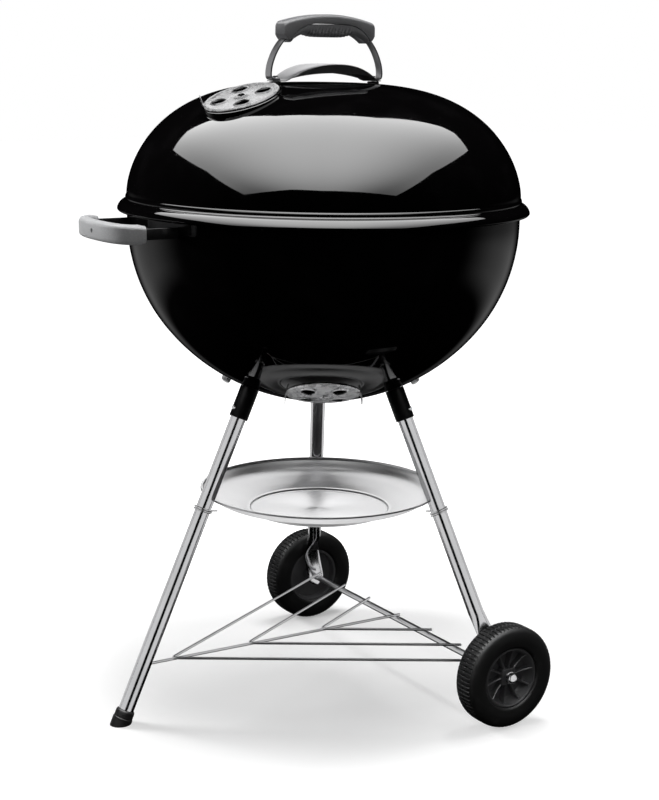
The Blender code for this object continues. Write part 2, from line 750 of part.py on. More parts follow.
def make_tyre(side, frame):
    bead = HUB_RADIUS + GAP
    big = WHEEL_RADIUS
    wide = WHEEL_WIDTH
    profile = [(bead, 0.003), (bead + 0.006, 0.0008), (bead + 0.014, 0.0), (big - 0.007, 0.0018),
               (big - 0.002, 0.0055), (big, 0.010), (big, wide - 0.010),
               (big - 0.002, wide - 0.0055), (big - 0.007, wide - 0.0018),
               (bead + 0.014, wide), (bead + 0.006, wide - 0.0008), (bead, wide - 0.003)]
    mesh = bmesh.new()
    turned(mesh, profile, frame, WHEEL_SIDES)
    made = node("tyre_" + side, mesh, rubber("tyre"))
    set_origin(made, frame.translation)


def make_hub(side, frame):
    """A moulded hub: barrel, dished web, and a boss on the axle."""
    bore = AXLE_RADIUS + GAP
    face = WHEEL_WIDTH - HUB_DISH
    rim = HUB_RADIUS
    barrel = rim - 0.003
    profile = [(bore, 0.0005), (HUB_BOSS_RADIUS, 0.0005), (HUB_BOSS_RADIUS, face - HUB_WEB - 0.004),
               (barrel, face - HUB_WEB), (barrel, 0.004), (rim, 0.004),
               (rim, WHEEL_WIDTH - 0.004), (barrel + 0.0005, WHEEL_WIDTH - 0.003),
               (barrel - 0.001, face), (HUB_BOSS_RADIUS, face - 0.004),
               (HUB_BOSS_RADIUS, face + 0.003), (bore, face + 0.003)]
    mesh = bmesh.new()
    turned(mesh, profile, frame, WHEEL_SIDES)
    made = node("wheel_hub_" + side, mesh, black_plastic("wheel_hub"))
    set_origin(made, frame.translation)


def hub_face():
    return WHEEL_WIDTH - HUB_DISH + 0.003


def make_axle_cap(side, frame):
    """A press-on cap over the axle's end, outside the hub."""
    start = hub_face() + 0.0006
    bore = AXLE_RADIUS + GAP
    end = start + AXLE_CAP_LENGTH
    profile = [(bore, start), (AXLE_CAP_RADIUS, start), (AXLE_CAP_RADIUS, end - 0.003),
               (AXLE_CAP_RADIUS - 0.003, end), (0.0, end), (0.0, end - 0.003),
               (bore, end - 0.003)]
    mesh = bmesh.new()
    turned(mesh, profile, frame, TUBE_SIDES)
    node("axle_cap_" + side, mesh, steel("axle_cap"))


def make_axle():
    reach = WHEEL_INNER_Y + hub_face() + 0.0006 + AXLE_CAP_LENGTH - 0.003 - GAP
    centre = axle_centre()
    mesh = bmesh.new()
    rod(mesh, centre - Vector((0, reach, 0)), centre + Vector((0, reach, 0)), AXLE_RADIUS, 16)
    node("axle", mesh, steel("axle"))


# ---------------------------------------------------------------- ash pan and shelf

def make_ash_pan():
    """A shallow dish with a flat middle and a rolled rim."""
    rim = PAN_RADIUS
    low = PAN_RIM_Z - PAN_DEPTH
    ring = PAN_RING_RADIUS
    flare = rim - 0.010 - ring
    outside = [(0.0, low), (ring - 0.006, low), (ring, low + 0.0012), (ring + 0.004, low + 0.0032),
               (ring + flare * 0.411, low + 0.0105), (ring + flare * 0.807, low + 0.0205),
               (ring + flare, low + 0.0285)]
    inside = offset(outside, -PAN_WALL)
    bead = [(rim - PAN_BEAD, PAN_RIM_Z - 0.0040), (rim, PAN_RIM_Z - 0.0022),
            (rim - 0.0006, PAN_RIM_Z - 0.0003), (rim - PAN_BEAD, PAN_RIM_Z),
            (rim - PAN_BEAD - 0.0014, PAN_RIM_Z - 0.0012)]
    mesh = bmesh.new()
    turned(mesh, outside + bead + list(reversed(inside)), sides=28, closed=False)
    node("ash_pan", mesh, aluminium("ash_pan"))


def make_pan_clip(side):
    """Two turns of wire about the leg, with an arm that reaches under the pan's rim."""
    angle = LEG_ANGLES[side]
    middle = leg_point(angle, PAN_RIM_Z - 0.0115)
    along = (leg_point(angle, PAN_RIM_Z + 0.1) - middle).normalized()
    turn = math.radians(angle)
    tangent = Vector((-math.sin(turn), math.cos(turn), 0))
    inward = along.cross(tangent).normalized()
    if inward.dot(Vector((AXIS_X, 0, middle.z)) - middle) < 0:
        inward = -inward
    coil = LEG_TUBE + GAP + CLIP_WIRE * 1.25
    pitch = CLIP_WIRE * 2.6
    points = []
    turns = 1.9
    steps = 24
    for i in range(steps + 1):
        a = 2 * math.pi * turns * i / steps - math.radians(70)
        points.append(middle + along * (pitch * turns * (i / steps - 0.5))
                      - coil * (math.cos(a) * tangent + math.sin(a) * inward))
    last = points[-1]
    level_in = Vector((AXIS_X, 0, 0)) - Vector((last.x, last.y, 0))
    level_in.normalize()
    points.append(last + level_in * 0.004 + Vector((0, 0, -0.0006)))
    points.append(last + level_in * 0.010 + Vector((0, 0, -0.0014)))
    mesh = bmesh.new()
    bent_wire(mesh, points, CLIP_WIRE, 4)
    node("pan_clip_" + side, mesh, steel("pan_clip"))


def rack_height():
    """The shelf's wires lie on top of the axle."""
    return WHEEL_RADIUS + AXLE_RADIUS + GAP + RACK_WIRE


def rack_spine_end():
    """The spine ends in a hole in the plain leg."""
    z = rack_height()
    return around(LEG_FOOT_RADIUS - LEG_SPLAY * z, LEG_ANGLES["plain"], z)


def rack_corners():
    """Distance of each chevron's corner from the axle."""
    spine = axle_centre().x - rack_spine_end().x
    return [spine * share for share in RACK_CORNERS]


def rack_slope():
    """Run of the chevrons' arms: the longest ones end just inside the wheel legs."""
    half = FLAT_OUTER_Y - FLAT_THICKNESS - 2 * RACK_WIRE
    return half / (rack_corners()[0] + RACK_PAST_AXLE)


def make_rack():
    z = rack_height()
    slope = rack_slope()
    centre = axle_centre()
    mesh = bmesh.new()
    rod(mesh, rack_spine_end() + Vector((0.001, 0, 0)), (centre.x + RACK_PAST_AXLE, 0, z),
        RACK_WIRE, 8)
    made = node("bottom_rack", mesh, steel("bottom_rack"))
    mesh = bmesh.new()
    bend = 0.004
    lift = RACK_WIRE * 0.9
    for corner in rack_corners():
        reach = corner + RACK_PAST_AXLE
        near = corner - bend
        arms = [(centre.x + RACK_PAST_AXLE, -slope * reach), (centre.x - near, -slope * bend),
                (centre.x - near - bend * 0.6, 0.0),
                (centre.x - near, slope * bend), (centre.x + RACK_PAST_AXLE, slope * reach)]
        bent_wire(mesh, [(x, y, z + lift) for x, y in arms], RACK_WIRE, 8)
    combine(made, tool("rack_chevrons", mesh), "UNION")


# ---------------------------------------------------------------- handles

def handle_axes():
    turn = math.radians(HANDLE_ANGLE)
    return Vector((math.cos(turn), math.sin(turn), 0)), Vector((-math.sin(turn), math.cos(turn), 0))


def on_handle(along, z, across=0.0):
    """A point in the lid handle's own plane."""
    run, side = handle_axes()
    return Vector((AXIS_X, 0, z)) + run * along + side * across


def shield_end_z():
    return SEAT_TOP_Z + GAP


def foot_z():
    """Middle of the strap's foot: it lies on the heat shield's end."""
    return shield_end_z() + SHIELD_SHEET + GAP + STRAP_THICKNESS / 2


def strap_path():
    """One half of the strap from its foot's tip to inside the grip, then mirrored."""
    z = foot_z()
    half = [(STRAP_FOOT - 0.012, z), (STRAP_FOOT - 0.002, z), (STRAP_FOOT + 0.0025, z + 0.0015),
            (STRAP_FOOT + 0.0035, z + 0.006), (STRAP_FOOT + 0.0015, z + 0.020)]
    top = GRIP_TOP_Z - GRIP_END_DROP - 0.0105
    leg_end = Vector((STRAP_TOP, top - 0.010))
    start = Vector(half[-1])
    bulge = Vector((STRAP_FOOT - 0.006, (start.y + leg_end.y) / 2 + 0.004))
    for share in (0.25, 0.5, 0.75, 1.0):
        point = (1 - share)**2 * start + 2 * share * (1 - share) * bulge + share**2 * leg_end
        half.append((point.x, point.y))
    half += [(STRAP_TOP - 0.004, top - 0.002), (STRAP_TOP - 0.012, top + 0.0025),
             (STRAP_TOP * 0.5, top + 0.0055)]
    return half + [(0.0, top + 0.0065)] + [(-s, z) for s, z in reversed(half)]


def strap_shape(extra):
    mesh = bmesh.new()
    path = [on_handle(s, z) for s, z in strap_path()]
    _, side = handle_axes()
    band(mesh, path, side, STRAP_WIDTH + 2 * extra, STRAP_THICKNESS + 2 * extra)
    return mesh


def bolt_line(sign):
    """Where a bolt stands, in the middle of the foot's flat."""
    return on_handle(sign * (STRAP_FOOT - 0.008), 0.0)


def bolt_cutter(name, sign):
    spot = bolt_line(sign)
    mesh = bmesh.new()
    rod(mesh, spot + Vector((0, 0, LID_WALL_Z)), spot + Vector((0, 0, GRIP_TOP_Z - 0.05)),
        BOLT_RADIUS + GAP, 10)
    return tool(name, mesh)


def make_strap():
    made = node("lid_handle_strap", strap_shape(0.0), steel("lid_handle_strap"))
    for sign in (-1, 1):
        combine(made, bolt_cutter("strap_bolt_hole", sign), "DIFFERENCE")


def grip_crest(along):
    """Height of the grip's top at a distance from its middle."""
    share = along / GRIP_HALF_LENGTH
    return GRIP_TOP_Z - GRIP_END_DROP * share * share


def seam(along):
    """Height of the joint between the grip's cap and its insert."""
    share = min(abs(along) / (GRIP_HALF_LENGTH - 0.009), 1.0)
    top = GRIP_TOP_Z - 0.0130
    return top - 0.0235 * share**4.0


def grip_slab(name, outline, finish):
    """An outline in the handle's plane, as wide as the grip, with its long edges softened."""
    mesh = bmesh.new()
    soft = 0.004
    rings = []
    middle = Vector((sum(s for s, _ in outline), sum(z for _, z in outline))) / len(outline)
    for across, shrink in ((-1, soft), (-0.72, 0.0), (0.72, 0.0), (1, soft)):
        ring = []
        for s, z in outline:
            away = Vector((s, z)) - middle
            reach = Vector((s - math.copysign(min(shrink, abs(away.x) * 0.2), away.x),
                            z - math.copysign(min(shrink * 0.5, abs(away.y) * 0.2), away.y)))
            ring.append(on_handle(reach.x, reach.y, across * GRIP_WIDTH / 2))
        rings.append(ring)
    loft(mesh, rings)
    return node(name, mesh, finish)


def make_grip():
    half = GRIP_HALF_LENGTH
    steps = 12
    stations = [half * (2 * i / steps - 1) * 0.985 for i in range(steps + 1)]
    crest = [(s, grip_crest(s)) for s in stations]
    end_low = GRIP_TOP_Z - GRIP_END_DROP - 0.0185
    joint = [(half - 0.009) * (1 - 2 * i / steps) for i in range(steps + 1)]
    under = [(s, seam(s)) for s in joint]
    outline = crest + [(half, grip_crest(half) - 0.004), (half, end_low)] + under
    outline += [(-half, end_low), (-half, grip_crest(half) - 0.004)]
    cap = grip_slab("lid_handle_cap", outline, nylon("lid_handle_cap"))
    combine(cap, tool("cap_strap_slot", strap_shape(GAP)), "DIFFERENCE")
    lower = [(s, seam(s) - GAP) for s in reversed(joint)]
    belly = []
    for i in range(steps + 1):
        s = (half - 0.013) * (1 - 2 * i / steps)
        share = abs(s) / (half - 0.013)
        belly.append((s, GRIP_TOP_Z - 0.0318 + 0.0035 * share**2 - 0.0085 * share**8))
    insert = grip_slab("lid_handle_insert", lower + belly, nylon("lid_handle_insert"))
    combine(insert, tool("insert_strap_slot", strap_shape(GAP)), "DIFFERENCE")


def shield_z(along):
    share = min(abs(along) / (STRAP_FOOT - 0.018), 1.0)
    return shield_end_z() + SHIELD_RISE * (0.5 + 0.5 * math.cos(math.pi * share)) ** 0.8


def shield_half_width(along):
    share = min(abs(along) / STRAP_FOOT, 1.0)
    return (SHIELD_END_WIDTH + (SHIELD_WIDTH - SHIELD_END_WIDTH) * (1 - share**2) ** 0.75) / 2


def make_heat_shield():
    """A leaf-shaped sheet arched between the feet, its long edges turned down."""
    mesh = bmesh.new()
    reach = STRAP_FOOT + 0.0015
    columns = 16
    rings = []
    for i in range(columns + 1):
        s = reach * (2 * i / columns - 1)
        z = shield_z(s)
        wide = shield_half_width(s)
        drop = SHIELD_FLANGE * max(0.0, 1 - (abs(s) / (STRAP_FOOT - 0.016))**2)
        rows = [(-wide, z - drop), (-wide + 0.002, z), (0.0, z + 0.0004),
                (wide - 0.002, z), (wide, z - drop)]
        sheet = SHIELD_SHEET
        inner = [(wide - sheet, z - drop), (wide - 0.002 - sheet, z - sheet),
                 (0.0, z - sheet + 0.0004), (-wide + 0.002 + sheet, z - sheet),
                 (-wide + sheet, z - drop)]
        if drop < 0.002:
            rows = [(-wide, z - 0.0002), (-wide + 0.002, z), (0.0, z), (wide - 0.002, z),
                    (wide, z - 0.0002)]
            inner = [(wide, z - sheet), (wide - 0.002, z - sheet), (0.0, z - sheet),
                     (-wide + 0.002, z - sheet), (-wide, z - sheet)]
        rings.append([on_handle(s, height + SHIELD_SHEET, across) for across, height in rows + inner])
    loft(mesh, rings)
    made = node("lid_heat_shield", mesh, steel("lid_heat_shield"))
    for sign in (-1, 1):
        combine(made, bolt_cutter("shield_bolt_hole", sign), "DIFFERENCE")


def lid_grown(name):
    """The lid's outside with the touching clearance added, to shape what sits on it."""
    mesh = bmesh.new()
    grown = offset(lid_outline(), GAP)
    grown[-1] = (0.0, grown[-1][1])
    turned(mesh, [(0.0, LID_LIP_Z)] + grown, closed=False)
    return tool(name, mesh)


def make_handle_seats():
    for name, sign in (("near", -1), ("far", 1)):
        spot = bolt_line(sign)
        mesh = bmesh.new()
        rod(mesh, (spot.x, spot.y, SEAT_TOP_Z - 0.020), (spot.x, spot.y, SEAT_TOP_Z),
            SEAT_RADIUS, 16)
        made = node("handle_seat_" + name, mesh, black_plastic("handle_seat"))
        combine(made, lid_grown("seat_cut_" + name), "DIFFERENCE")
        combine(made, bolt_cutter("seat_bolt_hole_" + name, sign), "DIFFERENCE")
        top = foot_z() + STRAP_THICKNESS / 2 + GAP
        low = lid_height(STRAP_FOOT - 0.008) + 0.0008
        profile = [(0.0, low), (BOLT_RADIUS, low), (BOLT_RADIUS, top), (BOLT_HEAD, top),
                   (BOLT_HEAD, top + 0.0014), (BOLT_HEAD * 0.6, top + 0.0028), (0.0, top + 0.0032)]
        mesh = bmesh.new()
        turned(mesh, profile, Matrix.Translation((spot.x, spot.y, 0)), SMALL, closed=False)
        node("handle_bolt_" + name, mesh, steel("handle_bolt"))


def side_path(inset):
    """Plan of the bowl handle: a bow whose ends turn in, at a depth behind its outer face."""
    made = []
    steps = 12
    for i in range(steps + 1):
        turn = math.radians(-88 + 176 * i / steps)
        y = (SIDE_HALF_SPAN - inset) * math.copysign(abs(math.sin(turn))**0.8, math.sin(turn))
        fall = 1 - abs(math.cos(turn))**0.62
        x = -(SIDE_REACH - inset) + (SIDE_BOW - inset * 0.35) * fall
        made.append(Vector((AXIS_X + x, y, SIDE_Z)))
    return made


def strap_run(inset):
    """The bracket's plan: it follows the grip, then its arms run in past the bowl's wall."""
    middle = side_path(inset)[1:-1]
    arm_y = abs(middle[0].y)
    wall = math.sqrt(BOWL_RADIUS**2 - (arm_y + SIDE_STRAP)**2) - 2 * SIDE_STRAP
    near = Vector((AXIS_X - wall, -arm_y, SIDE_Z))
    far = Vector((AXIS_X - wall, arm_y, SIDE_Z))
    return [near] + middle + [far]


def make_side_handle():
    up = Vector((0, 0, 1))
    mesh = bmesh.new()
    band(mesh, side_path(SIDE_DEPTH / 2), up, SIDE_HEIGHT, SIDE_DEPTH, 0.0045)
    grip = node("side_handle_grip", mesh, nylon("side_handle_grip"))
    run = strap_run(SIDE_DEPTH * 0.55)
    mesh = bmesh.new()
    band(mesh, run, up, SIDE_STRAP_HEIGHT, SIDE_STRAP)
    bracket = node("side_handle_bracket", mesh, black_paint("side_handle_bracket"))
    wall = offset(bowl_outline(), GAP) + [(BOWL_RADIUS + GAP, bowl_wall_z()), (0.0, bowl_wall_z())]
    mesh = bmesh.new()
    turned(mesh, wall, closed=False)
    combine(bracket, tool("bracket_wall_cut", mesh), "DIFFERENCE")
    mesh = bmesh.new()
    band(mesh, run, up, SIDE_STRAP_HEIGHT + 2 * GAP, SIDE_STRAP + 2 * GAP)
    combine(grip, tool("grip_slot", mesh), "DIFFERENCE")
    face = Vector((AXIS_X - SIDE_REACH, 0, SIDE_Z))
    back = SIDE_DEPTH * 0.55 - SIDE_STRAP / 2 - GAP
    mesh = bmesh.new()
    rod(mesh, face - Vector((0.01, 0, 0)), face + Vector((back + 0.0005, 0, 0)),
        SIDE_SCREW_HOLE, 12)
    combine(grip, tool("grip_screw_hole", mesh), "DIFFERENCE")
    profile = [(0.0, back - 0.0005 - 0.0025), (SIDE_SCREW_HOLE - GAP, back - 0.0005 - 0.0025),
               (SIDE_SCREW_HOLE - GAP, back - 0.0005), (0.0, back - 0.0005)]
    mesh = bmesh.new()
    turned(mesh, profile, aimed(face, (1, 0, 0)), 12, closed=False)
    node("side_handle_screw", mesh, steel("side_handle_screw"))


# ---------------------------------------------------------------- grates

def ring_wire(mesh, radius, z, wire, sides=28):
    points = [around(radius, 360.0 * i / sides, z) for i in range(sides)]
    bent_wire(mesh, points, wire, 5, closed=True)


def make_grate(name, radius, z, bars, bar, ring):
    """Parallel bars welded onto a ring, with two bars across under them."""
    mesh = bmesh.new()
    ring_wire(mesh, radius - ring, z, ring)
    made = node(name, mesh, steel(name))
    mesh = bmesh.new()
    inside = radius - ring
    for i in range(bars):
        y = inside * (2 * (i + 1) / (bars + 1) - 1)
        half = math.sqrt(inside**2 - y**2)
        rod(mesh, (AXIS_X - half, y, z + ring * 0.4), (AXIS_X + half, y, z + ring * 0.4), bar, 4,
            math.pi / 4)
    combine(made, tool(name + "_bars", mesh), "UNION")
    mesh = bmesh.new()
    low = z - ring + bar * 0.8
    for share in (-0.45, 0.45):
        x = inside * share
        half = math.sqrt(inside**2 - x**2)
        rod(mesh, (AXIS_X + x, -half, low), (AXIS_X + x, half, low),
            bar * 1.1, 4, math.pi / 4)
    combine(made, tool(name + "_crossbars", mesh), "UNION")
    return made


def make_bracket(index, angle):
    """A step bracket on the bowl's inside: the lower step holds coals, the upper one food."""
    turn = math.radians(angle)
    tangent = Vector((-math.sin(turn), math.cos(turn), 0))
    char_z = CHARCOAL_GRATE_Z - GRATE_RING_WIRE - GAP - BRACKET_SHEET / 2
    cook_z = COOKING_GRATE_Z - GRATE_RING_WIRE - GAP - BRACKET_SHEET / 2
    step = CHARCOAL_GRATE_RADIUS + 0.0030
    inner_wall = BOWL_RADIUS - WALL - GAP
    path = [(CHARCOAL_GRATE_RADIUS - 0.016, char_z), (step, char_z), (step + 0.001, char_z + 0.006),
            (COOKING_GRATE_RADIUS - 0.018, cook_z - 0.004), (COOKING_GRATE_RADIUS - 0.015, cook_z),
            (inner_wall + 0.004, cook_z)]
    mesh = bmesh.new()
    band(mesh, [around(r, angle, z) for r, z in path], tangent, BRACKET_WIDTH, BRACKET_SHEET)
    made = node("grate_bracket_" + str(index), mesh, steel("grate_bracket"))
    shrunk = offset(bowl_outline(), -WALL - GAP)
    mesh = bmesh.new()
    turned(mesh, shrunk + [(shrunk[-1][0], BOWL_WIDE_Z + 0.01), (0.0, BOWL_WIDE_Z + 0.01)],
           closed=False)
    combine(made, tool("bracket_trim_" + str(index), mesh), "INTERSECT")


# ---------------------------------------------------------------- build

def main():
    clear_scene()
    make_bowl()
    make_lid()
    make_dampers()
    make_plain_leg()
    make_foot_cap()
    for side in ("left", "right"):
        make_wheel_leg(side)
        make_wheel(side)
    for side in LEG_ANGLES:
        make_socket(side)
        make_button(side)
        make_pan_clip(side)
    make_axle()
    make_ash_pan()
    make_rack()
    make_strap()
    make_grip()
    make_heat_shield()
    make_handle_seats()
    make_side_handle()
    for index, angle in enumerate(BRACKET_ANGLES, 1):
        make_bracket(index, angle)
    make_grate("cooking_grate", COOKING_GRATE_RADIUS, COOKING_GRATE_Z, COOKING_BARS,
               GRATE_BAR, GRATE_RING_WIRE)
    make_grate("charcoal_grate", CHARCOAL_GRATE_RADIUS, CHARCOAL_GRATE_Z, CHARCOAL_BARS,
               CHARCOAL_BAR, GRATE_RING_WIRE)


main()
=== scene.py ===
import json
import math

import bmesh
import bpy
from mathutils import Matrix, Vector


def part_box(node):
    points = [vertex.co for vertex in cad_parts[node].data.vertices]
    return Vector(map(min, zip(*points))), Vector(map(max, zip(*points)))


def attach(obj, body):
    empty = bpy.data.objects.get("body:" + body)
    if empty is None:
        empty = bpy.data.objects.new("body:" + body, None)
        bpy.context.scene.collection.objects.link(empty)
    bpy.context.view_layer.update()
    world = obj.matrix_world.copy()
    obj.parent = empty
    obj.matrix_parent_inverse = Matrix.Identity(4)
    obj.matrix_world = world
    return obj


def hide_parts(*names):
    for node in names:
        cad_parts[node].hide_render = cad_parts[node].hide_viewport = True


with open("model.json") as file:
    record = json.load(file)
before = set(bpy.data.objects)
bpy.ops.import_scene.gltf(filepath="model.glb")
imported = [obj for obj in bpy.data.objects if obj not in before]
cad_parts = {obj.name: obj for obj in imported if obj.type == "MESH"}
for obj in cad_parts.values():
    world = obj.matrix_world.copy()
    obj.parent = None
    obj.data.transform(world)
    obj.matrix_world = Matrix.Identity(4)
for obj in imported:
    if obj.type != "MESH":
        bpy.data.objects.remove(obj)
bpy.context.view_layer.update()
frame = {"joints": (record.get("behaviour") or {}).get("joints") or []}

# Kettle charcoal grill: the finished look of each piece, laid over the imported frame.
# The row frame has +Z up and the floor at z = 0. The plain leg and the bowl's handle point
# along -X, and the axle runs along Y on the +X side.

joints = {joint["name"]: joint for joint in frame["joints"]}
bowl_low, bowl_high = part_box("bowl")
lid_low, lid_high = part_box("lid")

# Kettle shells
WALL = 0.0016
RIM_BEAD = 0.0022
RIM_HEIGHT = 0.036
KETTLE_X = (bowl_low.x + bowl_high.x) / 2
BOWL_RADIUS = (bowl_high.x - bowl_low.x) / 2 - RIM_BEAD
BOWL_TOP_Z = bowl_high.z
BOWL_WIDE_Z = BOWL_TOP_Z - RIM_HEIGHT
BOWL_DEPTH = BOWL_WIDE_Z - bowl_low.z
BOWL_SIDE_ARC = 0.245
LID_BEAD_RADIUS = (lid_high.x - lid_low.x) / 2
LID_RADIUS = LID_BEAD_RADIUS - 0.0132
LID_LIP_Z = lid_low.z
LID_DOME = 0.1575
LID_WALL_Z = lid_high.z - LID_DOME
LID_SHOULDER = 1.732
LID_FLATNESS = 3.110
LID_PLAY = 0.0015
LIP_INSIDE = BOWL_RADIUS + RIM_BEAD + LID_PLAY

# Dampers
DAMPER_RADIUS = 0.0525
DAMPER_SHEET = 0.0012
DAMPER_LIFT = 0.0009
DAMPER_HOLE = 0.0105
HOLE_CIRCLE = 0.031
TAB_HEIGHT = 0.0152
TAB_WIDTH = 0.015
TAB_CORNER = 0.0045
BOTTOM_DAMPERS = {"front": 240.0, "left": 120.0, "right": 0.0}
BOTTOM_DAMPER_TILT = 26.0
TOP_DAMPER_AT = 0.170
TOP_DAMPER_ANGLE = 197.0
TOP_TAB_TURN = 135.0

# Tripod
LEG_ANGLES = {"plain": 180.0, "left": 60.0, "right": -60.0}
LEG_SPLAY = 0.4434
LEG_FOOT_RADIUS = 0.3278
LEG_TUBE = 0.0111
LEG_TOP_Z = 0.458
SOCKET_TUBE = 0.0136
SOCKET_FIT = 0.0003
SOCKET_END_Z = 0.427
BUTTON_Z = 0.438
FOOT_SEAT_Z = 0.0102
FLAT_THICKNESS = 0.005
FLAT_HALF_WIDTH = 0.0145
FLAT_START_Z = 0.128

# Wheels
WHEEL_RADIUS = 0.075
WHEEL_WIDTH = 0.0405
HUB_RADIUS = 0.044
HUB_FACE = 0.0305
HUB_RIBS = 10
HUB_BOSS = 0.0230
TREAD_BLOCKS = 72
GROOVE_DEPTH = 0.0019
AXLE = Vector(joints["wheel_left_spin"]["pos_m"])

# Ash pan, clips and shelf
pan_low, pan_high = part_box("ash_pan")
PAN_RADIUS = (pan_high.x - pan_low.x) / 2
PAN_RIM_Z = pan_high.z
PAN_RING = 0.104
CLIP_WIRE = 0.0013
RACK_WIRE = 0.0020
RACK_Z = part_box("bottom_rack")[0].z + RACK_WIRE
RACK_CORNERS = (0.3936, 0.2679, 0.1415)
RACK_PAST_AXLE = 0.010
RACK_WIRE_PAST = 0.0045

# Lid handle
HANDLE_ANGLE = 8.3
GRIP_HALF = 0.083
GRIP_WIDTH = 0.025
GRIP_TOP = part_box("lid_handle_cap")[1].z
GRIP_DROP = 0.0115
STRAP_WIDTH = 0.0127
STRAP_THICKNESS = 0.0025
STRAP_FOOT = 0.0985
STRAP_TOP = 0.0745
SHIELD_LOW_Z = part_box("lid_heat_shield")[0].z
SHIELD_SHEET = 0.0012
SHIELD_ARCH = 0.0230
SHIELD_FLANGE = 0.0125

# Bowl handle
SIDE_REACH = KETTLE_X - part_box("side_handle_grip")[0].x
SIDE_HALF_SPAN = 0.085
SIDE_BOW = 0.040
SIDE_DEPTH = 0.0185
SIDE_HEIGHT = 0.0265
SIDE_Z = sum(p.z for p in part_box("side_handle_grip")) / 2

# Grates
COOKING_GRATE_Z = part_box("cooking_grate")[0].z + 0.0040
CHARCOAL_GRATE_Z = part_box("charcoal_grate")[0].z + 0.0050

UP = Vector((0, 0, 1))


# ---------------------------------------------------------------- shader kit

class Signal:
    """One output of a material's nodes. Sums on it add nodes."""

    def __init__(self, finish, socket):
        self.finish = finish
        self.socket = socket

    def _sum(self, operation, first, second):
        return self.finish.node("Math", {"operation": operation}, {0: first, 1: second})

    def __add__(self, other):
        return self._sum("ADD", self, other)

    def __radd__(self, other):
        return self._sum("ADD", other, self)

    def __sub__(self, other):
        return self._sum("SUBTRACT", self, other)

    def __rsub__(self, other):
        return self._sum("SUBTRACT", other, self)

    def __mul__(self, other):
        return self._sum("MULTIPLY", self, other)

    def __rmul__(self, other):
        return self._sum("MULTIPLY", other, self)

    def eased(self, low, high):
        """0 below low, 1 above high, and smooth between them."""
        return self.finish.node("MapRange", {"interpolation_type": "SMOOTHSTEP"},
                                {"Value": self, "From Min": low, "From Max": high})


class Finish:
    """A material, and the nodes that make it."""

    def __init__(self, name, tree=None):
        if tree is None:
            self.material = bpy.data.materials.new(name)
            self.material.use_nodes = True
            tree = self.material.node_tree
        self.tree = tree
        self.tree.nodes.clear()

    def node(self, kind, settings=None, inputs=None, output=0):
        """Add a node: its settings first, then its values and links."""
        made = self.tree.nodes.new("ShaderNode" + kind)
        for key, value in (settings or {}).items():
            setattr(made, key, value)
        for key, value in (inputs or {}).items():
            self.feed(made.inputs[key], value)
        return Signal(self, made.outputs[output]) if len(made.outputs) else None

    def feed(self, socket, value):
        if isinstance(value, Signal):
            self.tree.links.new(value.socket, socket)
        elif isinstance(value, tuple) and socket.type == "RGBA":
            socket.default_value = (*value, 1.0)
        else:
            socket.default_value = value

    def place(self, stretch=(1, 1, 1), drawn=False):
        """Where a point lies, in metres: in the piece, or along and around a drawn tube."""
        if drawn:
            spot = self.node("UVMap", {"uv_map": "UVMap"})
        else:
            spot = self.node("TexCoord", output=3)
        return self.node("Mapping", None, {"Vector": spot, "Scale": stretch})

    def grain(self, size, stretch=(1, 1, 1), detail=4.0, roughness=0.55, drawn=False):
        """Cloudy noise whose clouds are about size across."""
        return self.node("TexNoise", None, {"Vector": self.place(stretch, drawn), "Scale": 1 / size,
                                            "Detail": detail, "Roughness": roughness})

    def cells(self, size, output=0):
        """Cells about size across: the distance to each one's middle, or its own colour."""
        return self.node("TexVoronoi", None, {"Vector": self.place(), "Scale": 1 / size}, output)

    def blend(self, share, first, second):
        """A colour between two colours."""
        return self.node("Mix", {"data_type": "RGBA"}, {0: share, 6: first, 7: second}, 2)

    def relief(self, height, depth, strength):
        return self.node("Bump", None, {"Height": height, "Distance": depth, "Strength": strength})

    def coat(self, **inputs):
        """The surface itself. Words are the shader's inputs with spaces as underscores."""
        named = {key.replace("_", " "): value for key, value in inputs.items()}
        surface = self.node("BsdfPrincipled", None, named)
        self.node("OutputMaterial", None, {"Surface": surface})
        return self.material


def enamel_finish():
    """Black vitreous enamel: a deep gloss with a faint orange peel, and a little dust."""
    f = Finish("black_enamel")
    peel = f.grain(0.013, detail=2.0)
    specks = f.cells(0.009).eased(0.16, 0.10) * f.grain(0.05).eased(0.52, 0.62)
    smears = f.grain(0.06, detail=5.0).eased(0.45, 0.75)
    return f.coat(Base_Color=f.blend(smears, (0.0022, 0.0020, 0.0022), (0.0040, 0.0037, 0.0040)),
                  Roughness=0.030 + smears * 0.035 + specks * 0.15,
                  Specular_IOR_Level=0.5,
                  Normal=f.relief(peel, 0.00004, 0.25))


def black_paint_finish():
    """Satin black paint on a welded steel part."""
    f = Finish("black_paint")
    mottle = f.grain(0.004)
    wear = f.grain(0.02, detail=6.0).eased(0.60, 0.72)
    return f.coat(Base_Color=f.blend(wear, (0.0030, 0.0030, 0.0032), (0.0080, 0.0080, 0.0080)),
                  Roughness=0.30 + mottle * 0.12 + wear * 0.1,
                  Specular_IOR_Level=0.25,
                  Normal=f.relief(mottle, 0.0001, 0.35))


def plated_finish(name, tone, low, high, streak=(60.0, 3.0, 1.0)):
    """Plated steel tube or wire, with fine draw lines along it."""
    f = Finish(name)
    lines = f.grain(0.03, streak, detail=6.0, roughness=0.6, drawn=True)
    haze = f.grain(0.05, detail=4.0)
    spots = f.cells(0.006).eased(0.12, 0.07) * f.grain(0.03).eased(0.55, 0.65)
    dull = lines * 0.5 + haze * 0.5
    return f.coat(Base_Color=f.blend(haze.eased(0.3, 0.8), tone, tuple(c * 0.90 for c in tone)),
                  Metallic=1.0,
                  Roughness=low + dull * (high - low) + spots * 0.12,
                  Normal=f.relief(lines, 0.00005, 0.12))


